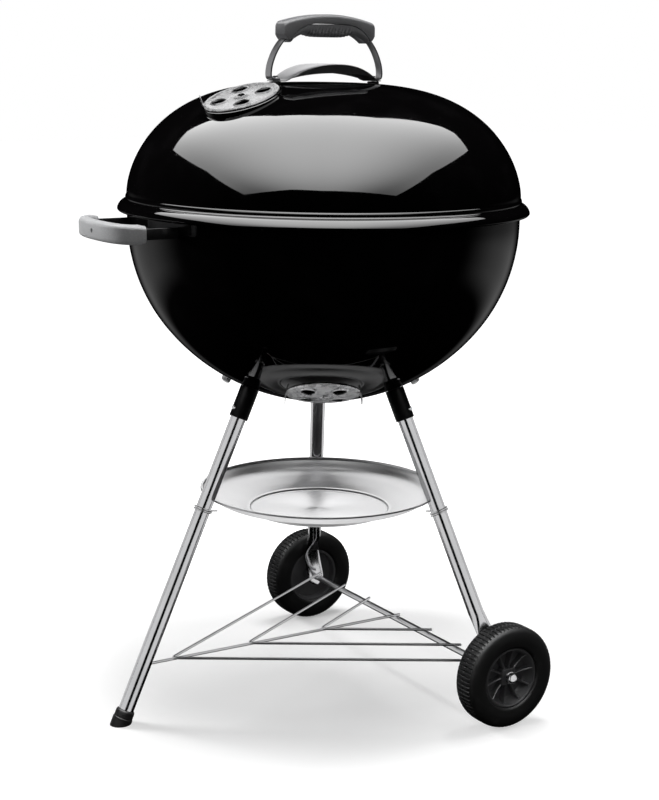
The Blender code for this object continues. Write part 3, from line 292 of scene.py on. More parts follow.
def satin_steel_finish():
    """Flat steel strip with a satin grain along its length."""
    f = Finish("satin_steel")
    lines = f.grain(0.02, (90.0, 2.0, 1.0), detail=6.0, roughness=0.65, drawn=True)
    haze = f.grain(0.03)
    return f.coat(Base_Color=f.blend(lines, (0.38, 0.38, 0.39), (0.47, 0.47, 0.48)),
                  Metallic=1.0,
                  Roughness=0.30 + lines * 0.10 + haze * 0.06,
                  Anisotropic=0.3,
                  Normal=f.relief(lines, 0.00006, 0.2))


def vent_finish():
    """Pressed aluminium with the cloudy spangle of rolled sheet."""
    f = Finish("vent_aluminium")
    patches = f.cells(0.0065, output=1)
    spangle = f.node("SeparateColor", None, {"Color": patches})
    clouds = f.grain(0.008, detail=6.0, roughness=0.7)
    share = (spangle * 0.55 + clouds * 0.6).eased(0.25, 0.85)
    return f.coat(Base_Color=f.blend(share, (0.46, 0.46, 0.47), (0.90, 0.90, 0.905)),
                  Metallic=1.0,
                  Roughness=0.24 + share * 0.26,
                  Normal=f.relief(clouds, 0.0004, 0.45))


def spun_finish():
    """Spun aluminium: the lathe's fine rings turn every light into a fan."""
    f = Finish("spun_aluminium")
    rings = f.grain(0.0012, (1.0, 0.02, 1.0), detail=3.0, drawn=True)
    haze = f.grain(0.04, detail=5.0)
    return f.coat(Base_Color=f.blend(haze, (0.80, 0.80, 0.81), (0.90, 0.90, 0.905)),
                  Metallic=1.0,
                  Roughness=0.27 + rings * 0.06 + haze * 0.05,
                  Anisotropic=0.85,
                  Normal=f.relief(rings, 0.00003, 0.15))


def nylon_finish(name, tone, gloss):
    """Glass-filled nylon: a fine pebbled moulding skin with pale fibre specks."""
    f = Finish(name)
    pebbles = f.cells(0.0011)
    fibres = f.grain(0.0016, detail=3.0, roughness=0.7)
    patches = f.grain(0.02, detail=4.0)
    worn = tuple(min(c * 1.5, 1.0) for c in tone)
    return f.coat(Base_Color=f.blend(fibres.eased(0.45, 0.75) * 0.6 + patches * 0.25, tone, worn),
                  Roughness=gloss + patches * 0.10 + fibres * 0.06,
                  Normal=f.relief(pebbles, 0.00012, 0.5))


def moulded_finish(name, tone):
    """Dark moulded plastic with a light satin texture."""
    f = Finish(name)
    texture = f.grain(0.0012, detail=3.0)
    patches = f.grain(0.02, detail=5.0)
    dark = (tone, tone, tone * 1.05)
    pale = (tone * 2.0, tone * 2.0, tone * 2.05)
    return f.coat(Base_Color=f.blend(patches, dark, pale),
                  Roughness=0.34 + patches * 0.14,
                  Normal=f.relief(texture, 0.0001, 0.3))


def tyre_finish():
    """Solid black tyre: matt, with grey dust in its texture."""
    f = Finish("tyre_black")
    texture = f.grain(0.0010, detail=4.0, roughness=0.7)
    dust = f.grain(0.018, detail=7.0, roughness=0.65).eased(0.50, 0.80)
    return f.coat(Base_Color=f.blend(dust, (0.0045, 0.0045, 0.0048), (0.016, 0.016, 0.016)),
                  Roughness=0.42 + texture * 0.12 + dust * 0.14,
                  Normal=f.relief(texture, 0.00015, 0.4))


ENAMEL = enamel_finish()
PAINT = black_paint_finish()
LEG_PLATE = plated_finish("plated_leg", (0.80, 0.80, 0.815), 0.10, 0.22)
BRIGHT_PLATE = plated_finish("bright_fixing", (0.86, 0.86, 0.87), 0.12, 0.26)
WIRE_PLATE = plated_finish("plated_wire", (0.80, 0.80, 0.81), 0.22, 0.38, (20.0, 1.0, 1.0))
GRATE_PLATE = plated_finish("plated_grate", (0.62, 0.62, 0.63), 0.24, 0.44, (20.0, 1.0, 1.0))
SATIN = satin_steel_finish()
VENT = vent_finish()
SPUN = spun_finish()
NYLON = nylon_finish("grey_nylon", (0.105, 0.106, 0.110), 0.36)
# Painted light: the side grip's nylon is the same grey nylon made lighter (0.40 against 0.105), standing in
# for light from the left on the side grip.
SIDE_NYLON_PAINTED_LIGHT = nylon_finish("side_grey_nylon_painted_light", (0.40, 0.403, 0.41), 0.33)
MOULDING = moulded_finish("black_moulding", 0.010)
HUB_MOULDING = moulded_finish("hub_moulding", 0.060)
RUBBER = tyre_finish()


# ---------------------------------------------------------------- shape kit

def around(radius, angle, z):
    """A point by radius and angle about the kettle's axis."""
    turn = math.radians(angle)
    return Vector((KETTLE_X + radius * math.cos(turn), radius * math.sin(turn), z))


def aimed(point, direction):
    """A frame at a point whose Z runs along a direction."""
    turn = UP.rotation_difference(Vector(direction).normalized())
    return Matrix.Translation(point) @ turn.to_matrix().to_4x4()


def spread(count, phase=0.0):
    return [phase + 2 * math.pi * i / count for i in range(count)]


def arc(centre, radius, start, end, steps):
    made = []
    for i in range(steps + 1):
        turn = math.radians(start + (end - start) * i / steps)
        made.append((centre[0] + radius * math.cos(turn), centre[1] + radius * math.sin(turn)))
    return made


def flowing(points, steps=6):
    """A smooth run through points of any dimension."""
    points = [Vector(p) for p in points]
    made = []
    for i in range(len(points) - 1):
        before = points[max(i - 1, 0)]
        start, end = points[i], points[i + 1]
        after = points[min(i + 2, len(points) - 1)]
        for k in range(steps):
            t = k / steps
            made.append(0.5 * (2 * start + (end - before) * t
                               + (2 * before - 5 * start + 4 * end - after) * t**2
                               + (3 * start - before - 3 * end + after) * t**3))
    return made + [points[-1]]


def eased(share):
    share = min(max(share, 0.0), 1.0)
    return share * share * (3 - 2 * share)


def offset(profile, distance):
    """Shift a profile sideways, to the right of its run."""
    made = []
    last = len(profile) - 1
    for i, (x, z) in enumerate(profile):
        x0, z0 = profile[max(i - 1, 0)]
        x1, z1 = profile[min(i + 1, last)]
        length = math.hypot(x1 - x0, z1 - z0)
        shift_x = (z1 - z0) / length * distance
        shift_z = -(x1 - x0) / length * distance
        made.append((x if x < 1e-6 else x + shift_x, z + shift_z))
    return made


def skin(mesh, rings, loop=False, caps=True):
    """Skin a run of equal rings. UV holds the way round and the way along, in metres."""
    drawn = mesh.loops.layers.uv.verify()
    made = [[mesh.verts.new(point) for point in ring] for ring in rings]
    count = len(made[0])
    widest = max(rings, key=lambda ring: (ring[1] - ring[0]).length)
    girth = [0.0]
    for i in range(count):
        girth.append(girth[-1] + (widest[(i + 1) % count] - widest[i]).length)
    run = [0.0]
    for low, high in zip(rings, rings[1:] + rings[:1]):
        run.append(run[-1] + (high[0] - low[0]).length)
    last = len(rings) if loop else len(rings) - 1
    for k in range(last):
        low = made[k]
        high = made[(k + 1) % len(made)]
        for i in range(count):
            j = (i + 1) % count
            face = mesh.faces.new((low[i], low[j], high[j], high[i]))
            corners = ((girth[i], run[k]), (girth[i + 1], run[k]),
                       (girth[i + 1], run[k + 1]), (girth[i], run[k + 1]))
            for corner, spot in zip(face.loops, corners):
                corner[drawn].uv = spot
    if caps and not loop:
        mesh.faces.new(list(reversed(made[0])))
        mesh.faces.new(made[-1])


def turned(mesh, profile, frame_at=None, sides=96, loop=False):
    """Turn a profile of (radius, height) about the frame's own Z."""
    frame_at = frame_at or Matrix.Translation((KETTLE_X, 0, 0))
    turns = [(math.cos(a), math.sin(a)) for a in spread(sides)]
    rings = []
    for radius, height in profile:
        wide = max(radius, 0.0002)
        rings.append([frame_at @ Vector((wide * c, wide * s, height)) for c, s in turns])
    skin(mesh, rings, loop)


def tube(mesh, points, radius, sides=12, loop=False, rounded=True):
    """Round wire or tube along points, with rounded ends."""
    points = [Vector(p) for p in points]
    radii = radius if isinstance(radius, list) else [radius] * len(points)
    rings = []
    across = None
    last = len(points) - 1
    for i, point in enumerate(points):
        before = points[i - 1] if (i or loop) else point
        after = points[(i + 1) % len(points)] if (i < last or loop) else point
        along = (after - before).normalized()
        if across is None:
            across = along.orthogonal().normalized()
        across = (across - along * across.dot(along)).normalized()
        other = along.cross(across)
        ring = [point + radii[i] * (math.cos(a) * across + math.sin(a) * other)
                for a in spread(sides)]
        if rounded and not loop and i in (0, last):
            out = -along if i == 0 else along
            ends = []
            for lift in (70.0, 40.0, 15.0):
                turn = math.radians(lift)
                ends.append([point + (spot - point) * math.cos(turn)
                             + out * (radii[i] * 0.8 * (math.sin(turn) - 1)) for spot in ring])
            flush = [spot - out * radii[i] * 0.8 for spot in ring]
            if i == 0:
                rings += ends + [flush]
            else:
                rings += [flush] + list(reversed(ends))
            continue
        rings.append(ring)
    skin(mesh, rings, loop)


def rod(mesh, start, end, radius, sides=16, rounded=False):
    start = Vector(start)
    tube(mesh, [start, start.lerp(Vector(end), 0.5), end], radius, sides, rounded=rounded)


def rounded_box(width, height, corner, steps=4):
    """Outline of a rectangle with round corners, as (across, up)."""
    made = []
    for a, b, start in ((1, 1, 0), (-1, 1, 90), (-1, -1, 180), (1, -1, 270)):
        centre = (a * (width / 2 - corner), b * (height / 2 - corner))
        made += arc(centre, corner, start, start + 90, steps)
    return made


def strip(mesh, path, side, width, thickness, corner=0.0005, widths=None):
    """A flat strip along a path, its width along side and its edges softened."""
    path = [Vector(p) for p in path]
    side = Vector(side).normalized()
    last = len(path) - 1
    rings = []
    for i, point in enumerate(path):
        before, after = path[max(i - 1, 0)], path[min(i + 1, last)]
        out = (after - before).normalized().cross(side).normalized()
        wide = widths[i] if widths else width
        outline = rounded_box(wide, thickness, min(corner, thickness * 0.49), 3)
        rings.append([point + side * a + out * b for a, b in outline])
    skin(mesh, rings)


def solid(name, mesh):
    """An object from a closed mesh, its faces turned out."""
    bmesh.ops.recalc_face_normals(mesh, faces=mesh.faces)
    data = bpy.data.meshes.new(name)
    mesh.to_mesh(data)
    mesh.free()
    made = bpy.data.objects.new(name, data)
    bpy.context.scene.collection.objects.link(made)
    return made


def carve(made, mesh, operation="DIFFERENCE"):
    """Cut a shape out of a piece, or weld it on, and keep the result as its mesh."""
    other = solid("carving_shape", mesh)
    change = made.modifiers.new("carve", "BOOLEAN")
    change.operation = operation
    change.object = other
    change.solver = "EXACT"
    bpy.context.view_layer.update()
    graph = bpy.context.evaluated_depsgraph_get()
    data = bpy.data.meshes.new_from_object(made.evaluated_get(graph))
    made.modifiers.clear()
    made.data = data
    bpy.data.objects.remove(other, do_unlink=True)
    return made


pieces = {}


def settle(made, body, nodes, slot, material, sharp=35.0):
    """Give a piece its finish, its body and the CAD nodes that it stands for."""
    data = made.data
    data.materials.clear()
    data.materials.append(material)
    data.shade_smooth()
    data.set_sharp_from_angle(angle=math.radians(sharp))
    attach(made, body)
    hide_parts(*nodes)
    pieces.setdefault(slot, []).append(made)
    return made


def piece(name, mesh, body, nodes, slot, material, sharp=35.0):
    return settle(solid(name, mesh), body, nodes, slot, material, sharp)


# ---------------------------------------------------------------- bowl and lid

def bowl_ball():
    """Radius and centre height of the ball that the bowl's floor is part of."""
    inset = BOWL_RADIUS - BOWL_SIDE_ARC
    ball = (inset**2 + BOWL_DEPTH**2 - BOWL_SIDE_ARC**2) / (2 * (BOWL_DEPTH - BOWL_SIDE_ARC))
    return ball, BOWL_WIDE_Z - BOWL_DEPTH + ball


def bowl_outline(floor_steps=36, side_steps=28):
    ball, ball_z = bowl_ball()
    inset = BOWL_RADIUS - BOWL_SIDE_ARC
    join = math.degrees(math.atan2(ball_z - BOWL_WIDE_Z, inset))
    floor = arc((0.0, ball_z), ball, -90.0, -join, floor_steps)
    side = arc((inset, BOWL_WIDE_Z), BOWL_SIDE_ARC, -join, 0.0, side_steps)
    return [(max(r, 0.0), z) for r, z in floor] + side[1:]


def vent_drills(mesh, at):
    """Four round holes about a damper's rivet."""
    for turn in spread(4, math.radians(45)):
        spot = Vector((math.cos(turn), math.sin(turn), 0)) * HOLE_CIRCLE
        rod(mesh, at @ (spot - UP * 0.02), at @ (spot + UP * 0.02), DAMPER_HOLE, 40)


def bottom_damper_at(angle):
    ball, ball_z = bowl_ball()
    tilt = math.radians(BOTTOM_DAMPER_TILT)
    turn = math.radians(angle)
    outward = Vector((math.cos(turn), math.sin(turn), 0))
    normal = outward * math.sin(tilt) - UP * math.cos(tilt)
    across = Vector((-math.sin(turn), math.cos(turn), 0))
    middle = Vector((KETTLE_X, 0, ball_z)) + normal * ball
    axes = Matrix((across, normal.cross(across), normal)).transposed().to_4x4()
    return Matrix.Translation(middle) @ axes


def make_bowl():
    outside = bowl_outline()
    inside = offset(outside, -WALL)
    top = BOWL_TOP_Z
    wall = BOWL_RADIUS
    bead = flowing([(wall, top - 0.0110), (wall + 0.0006, top - 0.0085),
                    (wall + RIM_BEAD, top - 0.0050), (wall + RIM_BEAD - 0.0003, top - 0.0018),
                    (wall + 0.0006, top), (wall - WALL + 0.0003, top - 0.0010),
                    (wall - WALL, top - 0.0060)], 4)
    profile = outside + [(wall, top - 0.020)] + [tuple(p) for p in bead]
    mesh = bmesh.new()
    turned(mesh, profile + list(reversed(inside)), sides=176)
    made = solid("bowl_shell", mesh)
    mesh = bmesh.new()
    for angle in BOTTOM_DAMPERS.values():
        vent_drills(mesh, bottom_damper_at(angle))
    carve(made, mesh)
    settle(made, "stand", ["bowl"], "enamel_black", ENAMEL, 30.0)


def lid_radius(z):
    rise = max(z - LID_WALL_Z, 0.0) / LID_DOME
    return LID_RADIUS * max(1 - rise**LID_SHOULDER, 0.0) ** (1 / LID_FLATNESS)


def lid_height(radius):
    share = 1 - (radius / LID_RADIUS) ** LID_FLATNESS
    return LID_WALL_Z + LID_DOME * share ** (1 / LID_SHOULDER)


def lid_outline(steps=56):
    """Outside of the lid from its lower edge, over the rolled bead, to the crown."""
    lip = LIP_INSIDE + WALL
    bead = LID_BEAD_RADIUS
    low = LID_LIP_Z
    edge = [(lip, low), (bead - 0.0046, low), (bead - 0.0016, low + 0.0007),
            (bead - 0.0002, low + 0.0022), (bead, low + 0.0038), (bead - 0.0010, low + 0.0068),
            (bead - 0.0028, low + 0.0098), (bead - 0.0054, low + 0.0126),
            (bead - 0.0084, low + 0.0146), (bead - 0.0110, low + 0.0160),
            (LID_RADIUS + 0.0008, low + 0.0185), (LID_RADIUS + 0.0001, low + 0.0225)]
    dome = []
    start = low + 0.028
    first = math.asin((start - LID_WALL_Z) / LID_DOME)
    for i in range(steps + 1):
        lift = first + (math.pi / 2 - first) * i / steps
        z = LID_WALL_Z + LID_DOME * math.sin(lift)
        dome.append((lid_radius(z) if i < steps else 0.0, z))
    return [(min(r, bead), z) for r, z in flowing(edge + dome[:2], 4)[:-1]] + dome[1:]


def top_damper_at():
    step = 0.001
    high = lid_height(TOP_DAMPER_AT - step)
    low = lid_height(TOP_DAMPER_AT + step)
    slope = math.atan2(high - low, 2 * step)
    turn = math.radians(TOP_DAMPER_ANGLE)
    outward = Vector((math.cos(turn), math.sin(turn), 0))
    normal = outward * math.sin(slope) + UP * math.cos(slope)
    uphill = -outward * math.cos(slope) + UP * math.sin(slope)
    middle = around(TOP_DAMPER_AT, TOP_DAMPER_ANGLE, lid_height(TOP_DAMPER_AT))
    axes = Matrix((uphill, normal.cross(uphill), normal)).transposed().to_4x4()
    return Matrix.Translation(middle) @ axes


def make_lid():
    outside = lid_outline()
    mesh = bmesh.new()
    turned(mesh, [(0.0, LID_LIP_Z)] + outside, sides=208)
    made = solid("lid_shell", mesh)
    at = top_damper_at()
    pad = DAMPER_RADIUS + 0.004
    mesh = bmesh.new()
    profile = [(0.0, -0.013), (pad - 0.0006, -0.013), (pad - 0.0010, -0.0006), (pad - 0.0014, -0.0002),
               (pad - 0.0019, 0.0), (0.0, 0.0)]
    turned(mesh, profile, at, 96)
    carve(made, mesh, "UNION")
    inside = offset(outside, -WALL)
    mesh = bmesh.new()
    turned(mesh, [(0.0, LID_LIP_Z - 0.004), (LIP_INSIDE, LID_LIP_Z - 0.004)] + inside, sides=120)
    vent_drills(mesh, at)
    carve(made, mesh)
    settle(made, "lid", ["lid"], "enamel_black", ENAMEL, 32.0)


# ---------------------------------------------------------------- dampers

def damper_shape(mesh, at, ball):
    """A pressed disc: raised middle, shallow ring and a turned-down edge."""
    def lift(radius):
        if not ball:
            return 0.0
        return math.sqrt(ball**2 - radius**2) - ball
    edge = DAMPER_RADIUS
    shape = [(0.0, 0.0011), (0.0060, 0.0011), (0.0085, 0.0009), (0.0105, 0.0002), (0.0120, 0.0),
             (0.0160, 0.0), (0.0450, 0.0), (0.0463, 0.0004), (0.0480, 0.0008), (0.0500, 0.0006),
             (edge - 0.0006, 0.0002)]
    low = DAMPER_LIFT
    high = low + DAMPER_SHEET
    top = [(r, high + rise + lift(r)) for r, rise in shape]
    rim = [(edge, high - 0.0004 + lift(edge)), (edge, low + lift(edge))]
    under = [(r, low + lift(r)) for r, _ in reversed(shape)]
    turned(mesh, top + rim + under, at, 96)


def tab_shape(mesh, at, turn, base):
    """A tab bent up from the disc's edge, its top corners cut round."""
    spin = Matrix.Rotation(math.radians(turn), 4, "Z")
    outer = DAMPER_RADIUS - 0.0002
    run = [(outer - 0.0070, base), (outer - 0.0018, base), (outer, base + 0.0016),
           (outer + 0.0008, base + 0.0040), (outer + 0.0012, base + TAB_HEIGHT * 0.55),
           (outer + 0.0014, base + TAB_HEIGHT)]
    run = flowing(run, 5)
    path = [at @ spin @ Vector((x, 0, z)) for x, z in run]
    top = run[-1][1]
    widths = []
    for x, z in run:
        cut = max(z - (top - TAB_CORNER), 0.0) / TAB_CORNER
        widths.append(TAB_WIDTH - 2 * TAB_CORNER * (1 - math.sqrt(max(1 - cut**2, 0.0))))
    side = at.to_3x3() @ spin.to_3x3() @ Vector((0, 1, 0))
    strip(mesh, path, side, TAB_WIDTH, DAMPER_SHEET, 0.0004, widths)


def make_damper(name, body, at, ball, tabs):
    """A vent disc with its holes' rolled lips and its finger tabs. A ball of 0 is a flat disc."""
    mesh = bmesh.new()
    damper_shape(mesh, at, ball)
    made = solid(name + "_disc", mesh)
    mesh = bmesh.new()
    vent_drills(mesh, at)
    carve(made, mesh)
    settle(made, body, [name], "vent_aluminium", VENT, 28.0)
    base = DAMPER_LIFT + DAMPER_SHEET / 2
    if ball:
        base += math.sqrt(ball**2 - DAMPER_RADIUS**2) - ball
    mesh = bmesh.new()
    for turn in tabs:
        tab_shape(mesh, at, turn, base)
    lips_at = DAMPER_LIFT + DAMPER_SHEET
    for turn in spread(4, math.radians(45)):
        spot = Vector((math.cos(turn), math.sin(turn), 0)) * HOLE_CIRCLE
        drop = (math.sqrt(ball**2 - HOLE_CIRCLE**2) - ball) if ball else 0.0
        lip = [(DAMPER_HOLE + out, up) for out, up in
               ((0.0024, -0.0003), (0.0016, 0.0003), (0.0008, 0.0010), (0.0, 0.0011),
                (-0.0005, 0.0004), (-0.0002, -0.0010), (0.0010, -0.0009))]
        normal = (spot.x, spot.y, ball) if ball else UP
        turned(mesh, lip, at @ aimed((spot.x, spot.y, lips_at + drop), normal), 40, loop=True)
    piece(name + "_lips", mesh, body, [name], "vent_aluminium", VENT, 40.0)


def make_rivet(name, body, at, under, over):
    head = 0.0055
    profile = [(0.0, -under - 0.0014), (head * 0.75, -under - 0.0012), (head, -under - 0.0004),
               (head, -under), (0.003, -under), (0.003, over), (head, over),
               (head - 0.0002, over + 0.0006), (head * 0.8, over + 0.0013),
               (head * 0.45, over + 0.0019), (0.0012, over + 0.0019), (0.0008, over + 0.0012),
               (0.0, over + 0.0012)]
    mesh = bmesh.new()
    turned(mesh, profile, at, 40)
    piece(name + "_pin", mesh, body, [name], "bright_steel", BRIGHT_PLATE, 40.0)


def make_dampers():
    ball, _ = bowl_ball()
    over = DAMPER_LIFT + DAMPER_SHEET + 0.0012
    for side, angle in BOTTOM_DAMPERS.items():
        at = bottom_damper_at(angle)
        make_damper("bottom_damper_" + side, "bottom_damper_" + side, at, ball, (0.0, 180.0))
        make_rivet("damper_rivet_" + side, "stand", at, WALL + 0.0015, over)
    at = top_damper_at()
    make_damper("top_damper", "top_damper", at, 0.0, (TOP_TAB_TURN,))
    make_rivet("top_damper_rivet", "lid", at, WALL + 0.0015, over)


# ---------------------------------------------------------------- tripod

def leg_point(angle, z):
    return around(LEG_FOOT_RADIUS - LEG_SPLAY * z, angle, z)


def oval(point, along, across, first, second, sides=40):
    other = along.cross(across).normalized()
    across = other.cross(along).normalized()
    return [point + first * math.cos(a) * across + second * math.sin(a) * other
            for a in spread(sides)]


def make_plain_leg():
    top = leg_point(180.0, LEG_TOP_Z)
    foot = leg_point(180.0, FOOT_SEAT_Z)
    mesh = bmesh.new()
    tube(mesh, [foot.lerp(top, i / 24) for i in range(25)], LEG_TUBE, 48, rounded=False)
    piece("leg_plain_tube", mesh, "stand", ["leg_plain"], "leg_steel", LEG_PLATE)


def make_wheel_leg(side):
    """A tube leg pressed flat at its lower end, where the axle goes through."""
    angle = LEG_ANGLES[side]
    sign = 1 if angle > 0 else -1
    low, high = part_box("leg_" + side)
    outer = max(abs(low.y), abs(high.y))
    flat_y = sign * (outer - FLAT_THICKNESS / 2)
    top = leg_point(angle, LEG_TOP_Z)
    round_end = leg_point(angle, FLAT_START_Z + 0.030)
    along = (round_end - top).normalized()
    hub = Vector((AXLE.x, flat_y, AXLE.z))
    flat_start = leg_point(angle, FLAT_START_Z - 0.010)
    flat_start.y = flat_y
    down = (hub - flat_start).normalized()
    y_axis = Vector((0, 1, 0))
    rings = [oval(top.lerp(round_end, i / 20), along, y_axis, LEG_TUBE, LEG_TUBE) for i in range(21)]
    steps = 16
    for i in range(1, steps + 1):
        share = i / steps
        ease = eased(share)
        point = round_end.lerp(flat_start, share)
        heading = along.lerp(down, ease).normalized()
        thin = LEG_TUBE + (FLAT_THICKNESS / 2 - LEG_TUBE) * ease
        wide = LEG_TUBE + (FLAT_HALF_WIDTH - LEG_TUBE) * ease
        rings.append(oval(point, heading, y_axis, thin, wide))
    for turn in (0.0, 15.0, 30.0, 45.0, 60.0, 70.0, 80.0, 86.0):
        reach = FLAT_HALF_WIDTH * math.sin(math.radians(turn))
        wide = FLAT_HALF_WIDTH * math.cos(math.radians(turn))
        rings.append(oval(hub + down * reach, down, y_axis, FLAT_THICKNESS / 2, wide))
    mesh = bmesh.new()
    skin(mesh, rings)
    made = solid("leg_" + side + "_tube", mesh)
    mesh = bmesh.new()
    rod(mesh, hub - y_axis * 0.02, hub + y_axis * 0.02, 0.0051, 32)
    carve(made, mesh)
    settle(made, "stand", ["leg_" + side], "leg_steel", LEG_PLATE, 40.0)


def make_socket(side):
    """A sleeve over the leg's top, welded to the bowl."""
    angle = LEG_ANGLES[side]
    low = leg_point(angle, SOCKET_END_Z)
    high = leg_point(angle, 0.500)
    length = (high - low).length
    bore = LEG_TUBE + SOCKET_FIT
    outer = SOCKET_TUBE
    profile = [(bore, 0.030), (bore, 0.0008), (bore + 0.0006, 0.0), (outer - 0.0008, 0.0),
               (outer - 0.0002, 0.0003), (outer, 0.0010), (outer, length * 0.5), (outer, length),
               (0.0, length), (0.0, 0.045)]
    mesh = bmesh.new()
    turned(mesh, profile, aimed(low, high - low), 48, loop=True)
    made = solid("leg_socket_" + side + "_sleeve", mesh)
    mesh = bmesh.new()
    turned(mesh, offset(bowl_outline(), 0.0003) + [(0.0, BOWL_WIDE_Z)], sides=120)
    carve(made, mesh)
    settle(made, "stand", ["leg_socket_" + side], "bracket_black", PAINT, 40.0)


def button_line(side):
    angle = LEG_ANGLES[side]
    middle = leg_point(angle, BUTTON_Z)
    along = (leg_point(angle, BUTTON_Z + 0.1) - middle).normalized()
    turn = math.radians(angle)
    tangent = Vector((-math.sin(turn), math.cos(turn), 0))
    out = tangent.cross(along).normalized()
    if out.dot(middle - Vector((KETTLE_X, 0, middle.z))) < 0:
        out = -out
    return middle, out


def make_button(side):
    middle, out = button_line(side)
    top = SOCKET_TUBE + 0.0022
    profile = [(0.0, 0.0103), (0.0036, 0.0103), (0.0036, top - 0.0016), (0.0033, top - 0.0008),
               (0.0024, top - 0.0002), (0.0012, top), (0.0, top)]
    mesh = bmesh.new()
    turned(mesh, profile, aimed(middle, out), 32)
    piece("lock_button_" + side + "_pin", mesh, "stand", ["lock_button_" + side], "bright_steel",
          BRIGHT_PLATE, 40.0)


def make_foot_cap():
    """A moulded cup over the plain leg's end, cut flat on the floor."""
    seat = leg_point(180.0, FOOT_SEAT_Z)
    along = (leg_point(180.0, 0.3) - seat).normalized()
    bore = LEG_TUBE + SOCKET_FIT
    outer = bore + 0.0022
    profile = [(0.0, -0.020), (outer + 0.0006, -0.020), (outer + 0.0008, -0.006),
               (outer + 0.0008, -0.0020), (outer, -0.0012), (outer, 0.0060), (outer - 0.0002, 0.0080),
               (outer - 0.0008, 0.0098), (outer - 0.0018, 0.0106), (bore, 0.0108), (bore, -0.0003),
               (0.0, -0.0003)]
    mesh = bmesh.new()
    turned(mesh, profile, aimed(seat, along), 48)
    cut = bmesh.ops.bisect_plane(mesh, geom=mesh.verts[:] + mesh.edges[:] + mesh.faces[:],
                                 plane_co=(0, 0, 0), plane_no=(0, 0, -1), clear_outer=True)
    edges = [e for e in cut["geom_cut"] if isinstance(e, bmesh.types.BMEdge)]
    bmesh.ops.contextual_create(mesh, geom=edges)
    piece("foot_cap_cup", mesh, "stand", ["foot_cap"], "black_plastic", MOULDING, 40.0)


# ---------------------------------------------------------------- wheels

def make_tyre(side, at):
    """A solid tyre whose tread is cut across by narrow grooves, with a moulding line round it."""
    bead = HUB_RADIUS + 0.0003
    big = WHEEL_RADIUS
    wide = WHEEL_WIDTH
    side_in = flowing([(bead, 0.0030), (bead + 0.0025, 0.0012), (bead + 0.0060, 0.0006),
                       (bead + 0.0140, 0.0), (big - 0.0090, 0.0010), (big - 0.0050, 0.0026),
                       (big - 0.0022, 0.0052)], 3)
    tread = [(big - 0.0008, 0.0066), (big - 0.0002, 0.0090), (big, 0.0120), (big, 0.0160),
             (big, wide / 2 - 0.0010), (big, wide / 2), (big, wide / 2 + 0.0010),
             (big, wide - 0.0160), (big, wide - 0.0120), (big - 0.0002, wide - 0.0090),
             (big - 0.0008, wide - 0.0066)]
    side_out = [(r, wide - h) for r, h in reversed(side_in)]
    profile = [tuple(p) for p in side_in] + tread + side_out
    first = len(side_in)
    rings = []
    count = TREAD_BLOCKS * 6
    for i in range(count):
        turn = 2 * math.pi * i / count
        in_groove = (i % 6) in (0, 1)
        ring = []
        for k, (r, h) in enumerate(profile):
            on_tread = first <= k < first + len(tread)
            middle = abs(h - wide / 2) < 0.0006
            if on_tread:
                if middle:
                    r = big - 0.0002
                elif in_groove:
                    r = r - GROOVE_DEPTH
                else:
                    r = r - 0.0003
            ring.append(at @ Vector((r * math.cos(turn), r * math.sin(turn), h)))
        rings.append(ring)
    mesh = bmesh.new()
    skin(mesh, rings, loop=True)
    piece("tyre_" + side + "_tread", mesh, "wheel_" + side, ["tyre_" + side], "tyre_black", RUBBER, 30.0)


def make_hub(side, at):
    """A moulded hub: rim ring, dished web, ten radial ribs and a square boss."""
    rim = HUB_RADIUS
    wide = WHEEL_WIDTH
    web = HUB_FACE - 0.0115
    ring_in = rim - 0.0034
    profile = [(0.0053, 0.0005), (0.0125, 0.0005), (0.0125, web - 0.003), (ring_in - 0.001, web - 0.003),
               (ring_in, 0.004), (rim, 0.004), (rim, wide - 0.0048), (rim - 0.0006, wide - 0.0036),
               (rim - 0.0020, wide - 0.0032), (ring_in + 0.0002, wide - 0.0040),
               (ring_in - 0.0004, wide - 0.0056), (ring_in - 0.0022, web + 0.004),
               (ring_in - 0.0050, web + 0.0004), (0.0150, web), (0.0125, web), (0.0118, HUB_FACE - 0.0030),
               (0.0110, HUB_FACE - 0.0022), (0.0053, HUB_FACE - 0.0022)]
    mesh = bmesh.new()
    turned(mesh, profile, at, 96, loop=True)
    rib = ((0.0085, -0.0015, 0.0012), (0.0160, -0.0020, 0.0012), (0.0260, -0.0012, 0.0011),
           (0.0350, 0.0010, 0.0011), (0.0410, 0.0032, 0.0013))
    for turn in spread(HUB_RIBS, 0.16):
        spin = Matrix.Rotation(turn, 4, "Z")
        rings = []
        for reach, rise, half in rib:
            top = HUB_FACE + rise
            outline = [(-half * 1.25, web - 0.002), (half * 1.25, web - 0.002), (half, top - 0.0006),
                       (half * 0.55, top), (-half * 0.55, top), (-half, top - 0.0006)]
            rings.append([at @ spin @ Vector((reach, a, h)) for a, h in outline])
        skin(mesh, rings)
    boss = ((web, HUB_BOSS), (HUB_FACE - 0.0020, HUB_BOSS), (HUB_FACE - 0.0010, HUB_BOSS),
            (HUB_FACE - 0.0004, HUB_BOSS - 0.0016))
    rings = []
    for height, across in boss:
        outline = rounded_box(across, across, 0.0025, 4)
        rings.append([at @ Vector((a, b, height)) for a, b in outline])
    skin(mesh, rings)
    piece("wheel_hub_" + side + "_moulding", mesh, "wheel_" + side, ["wheel_hub_" + side],
          "black_plastic", HUB_MOULDING, 32.0)


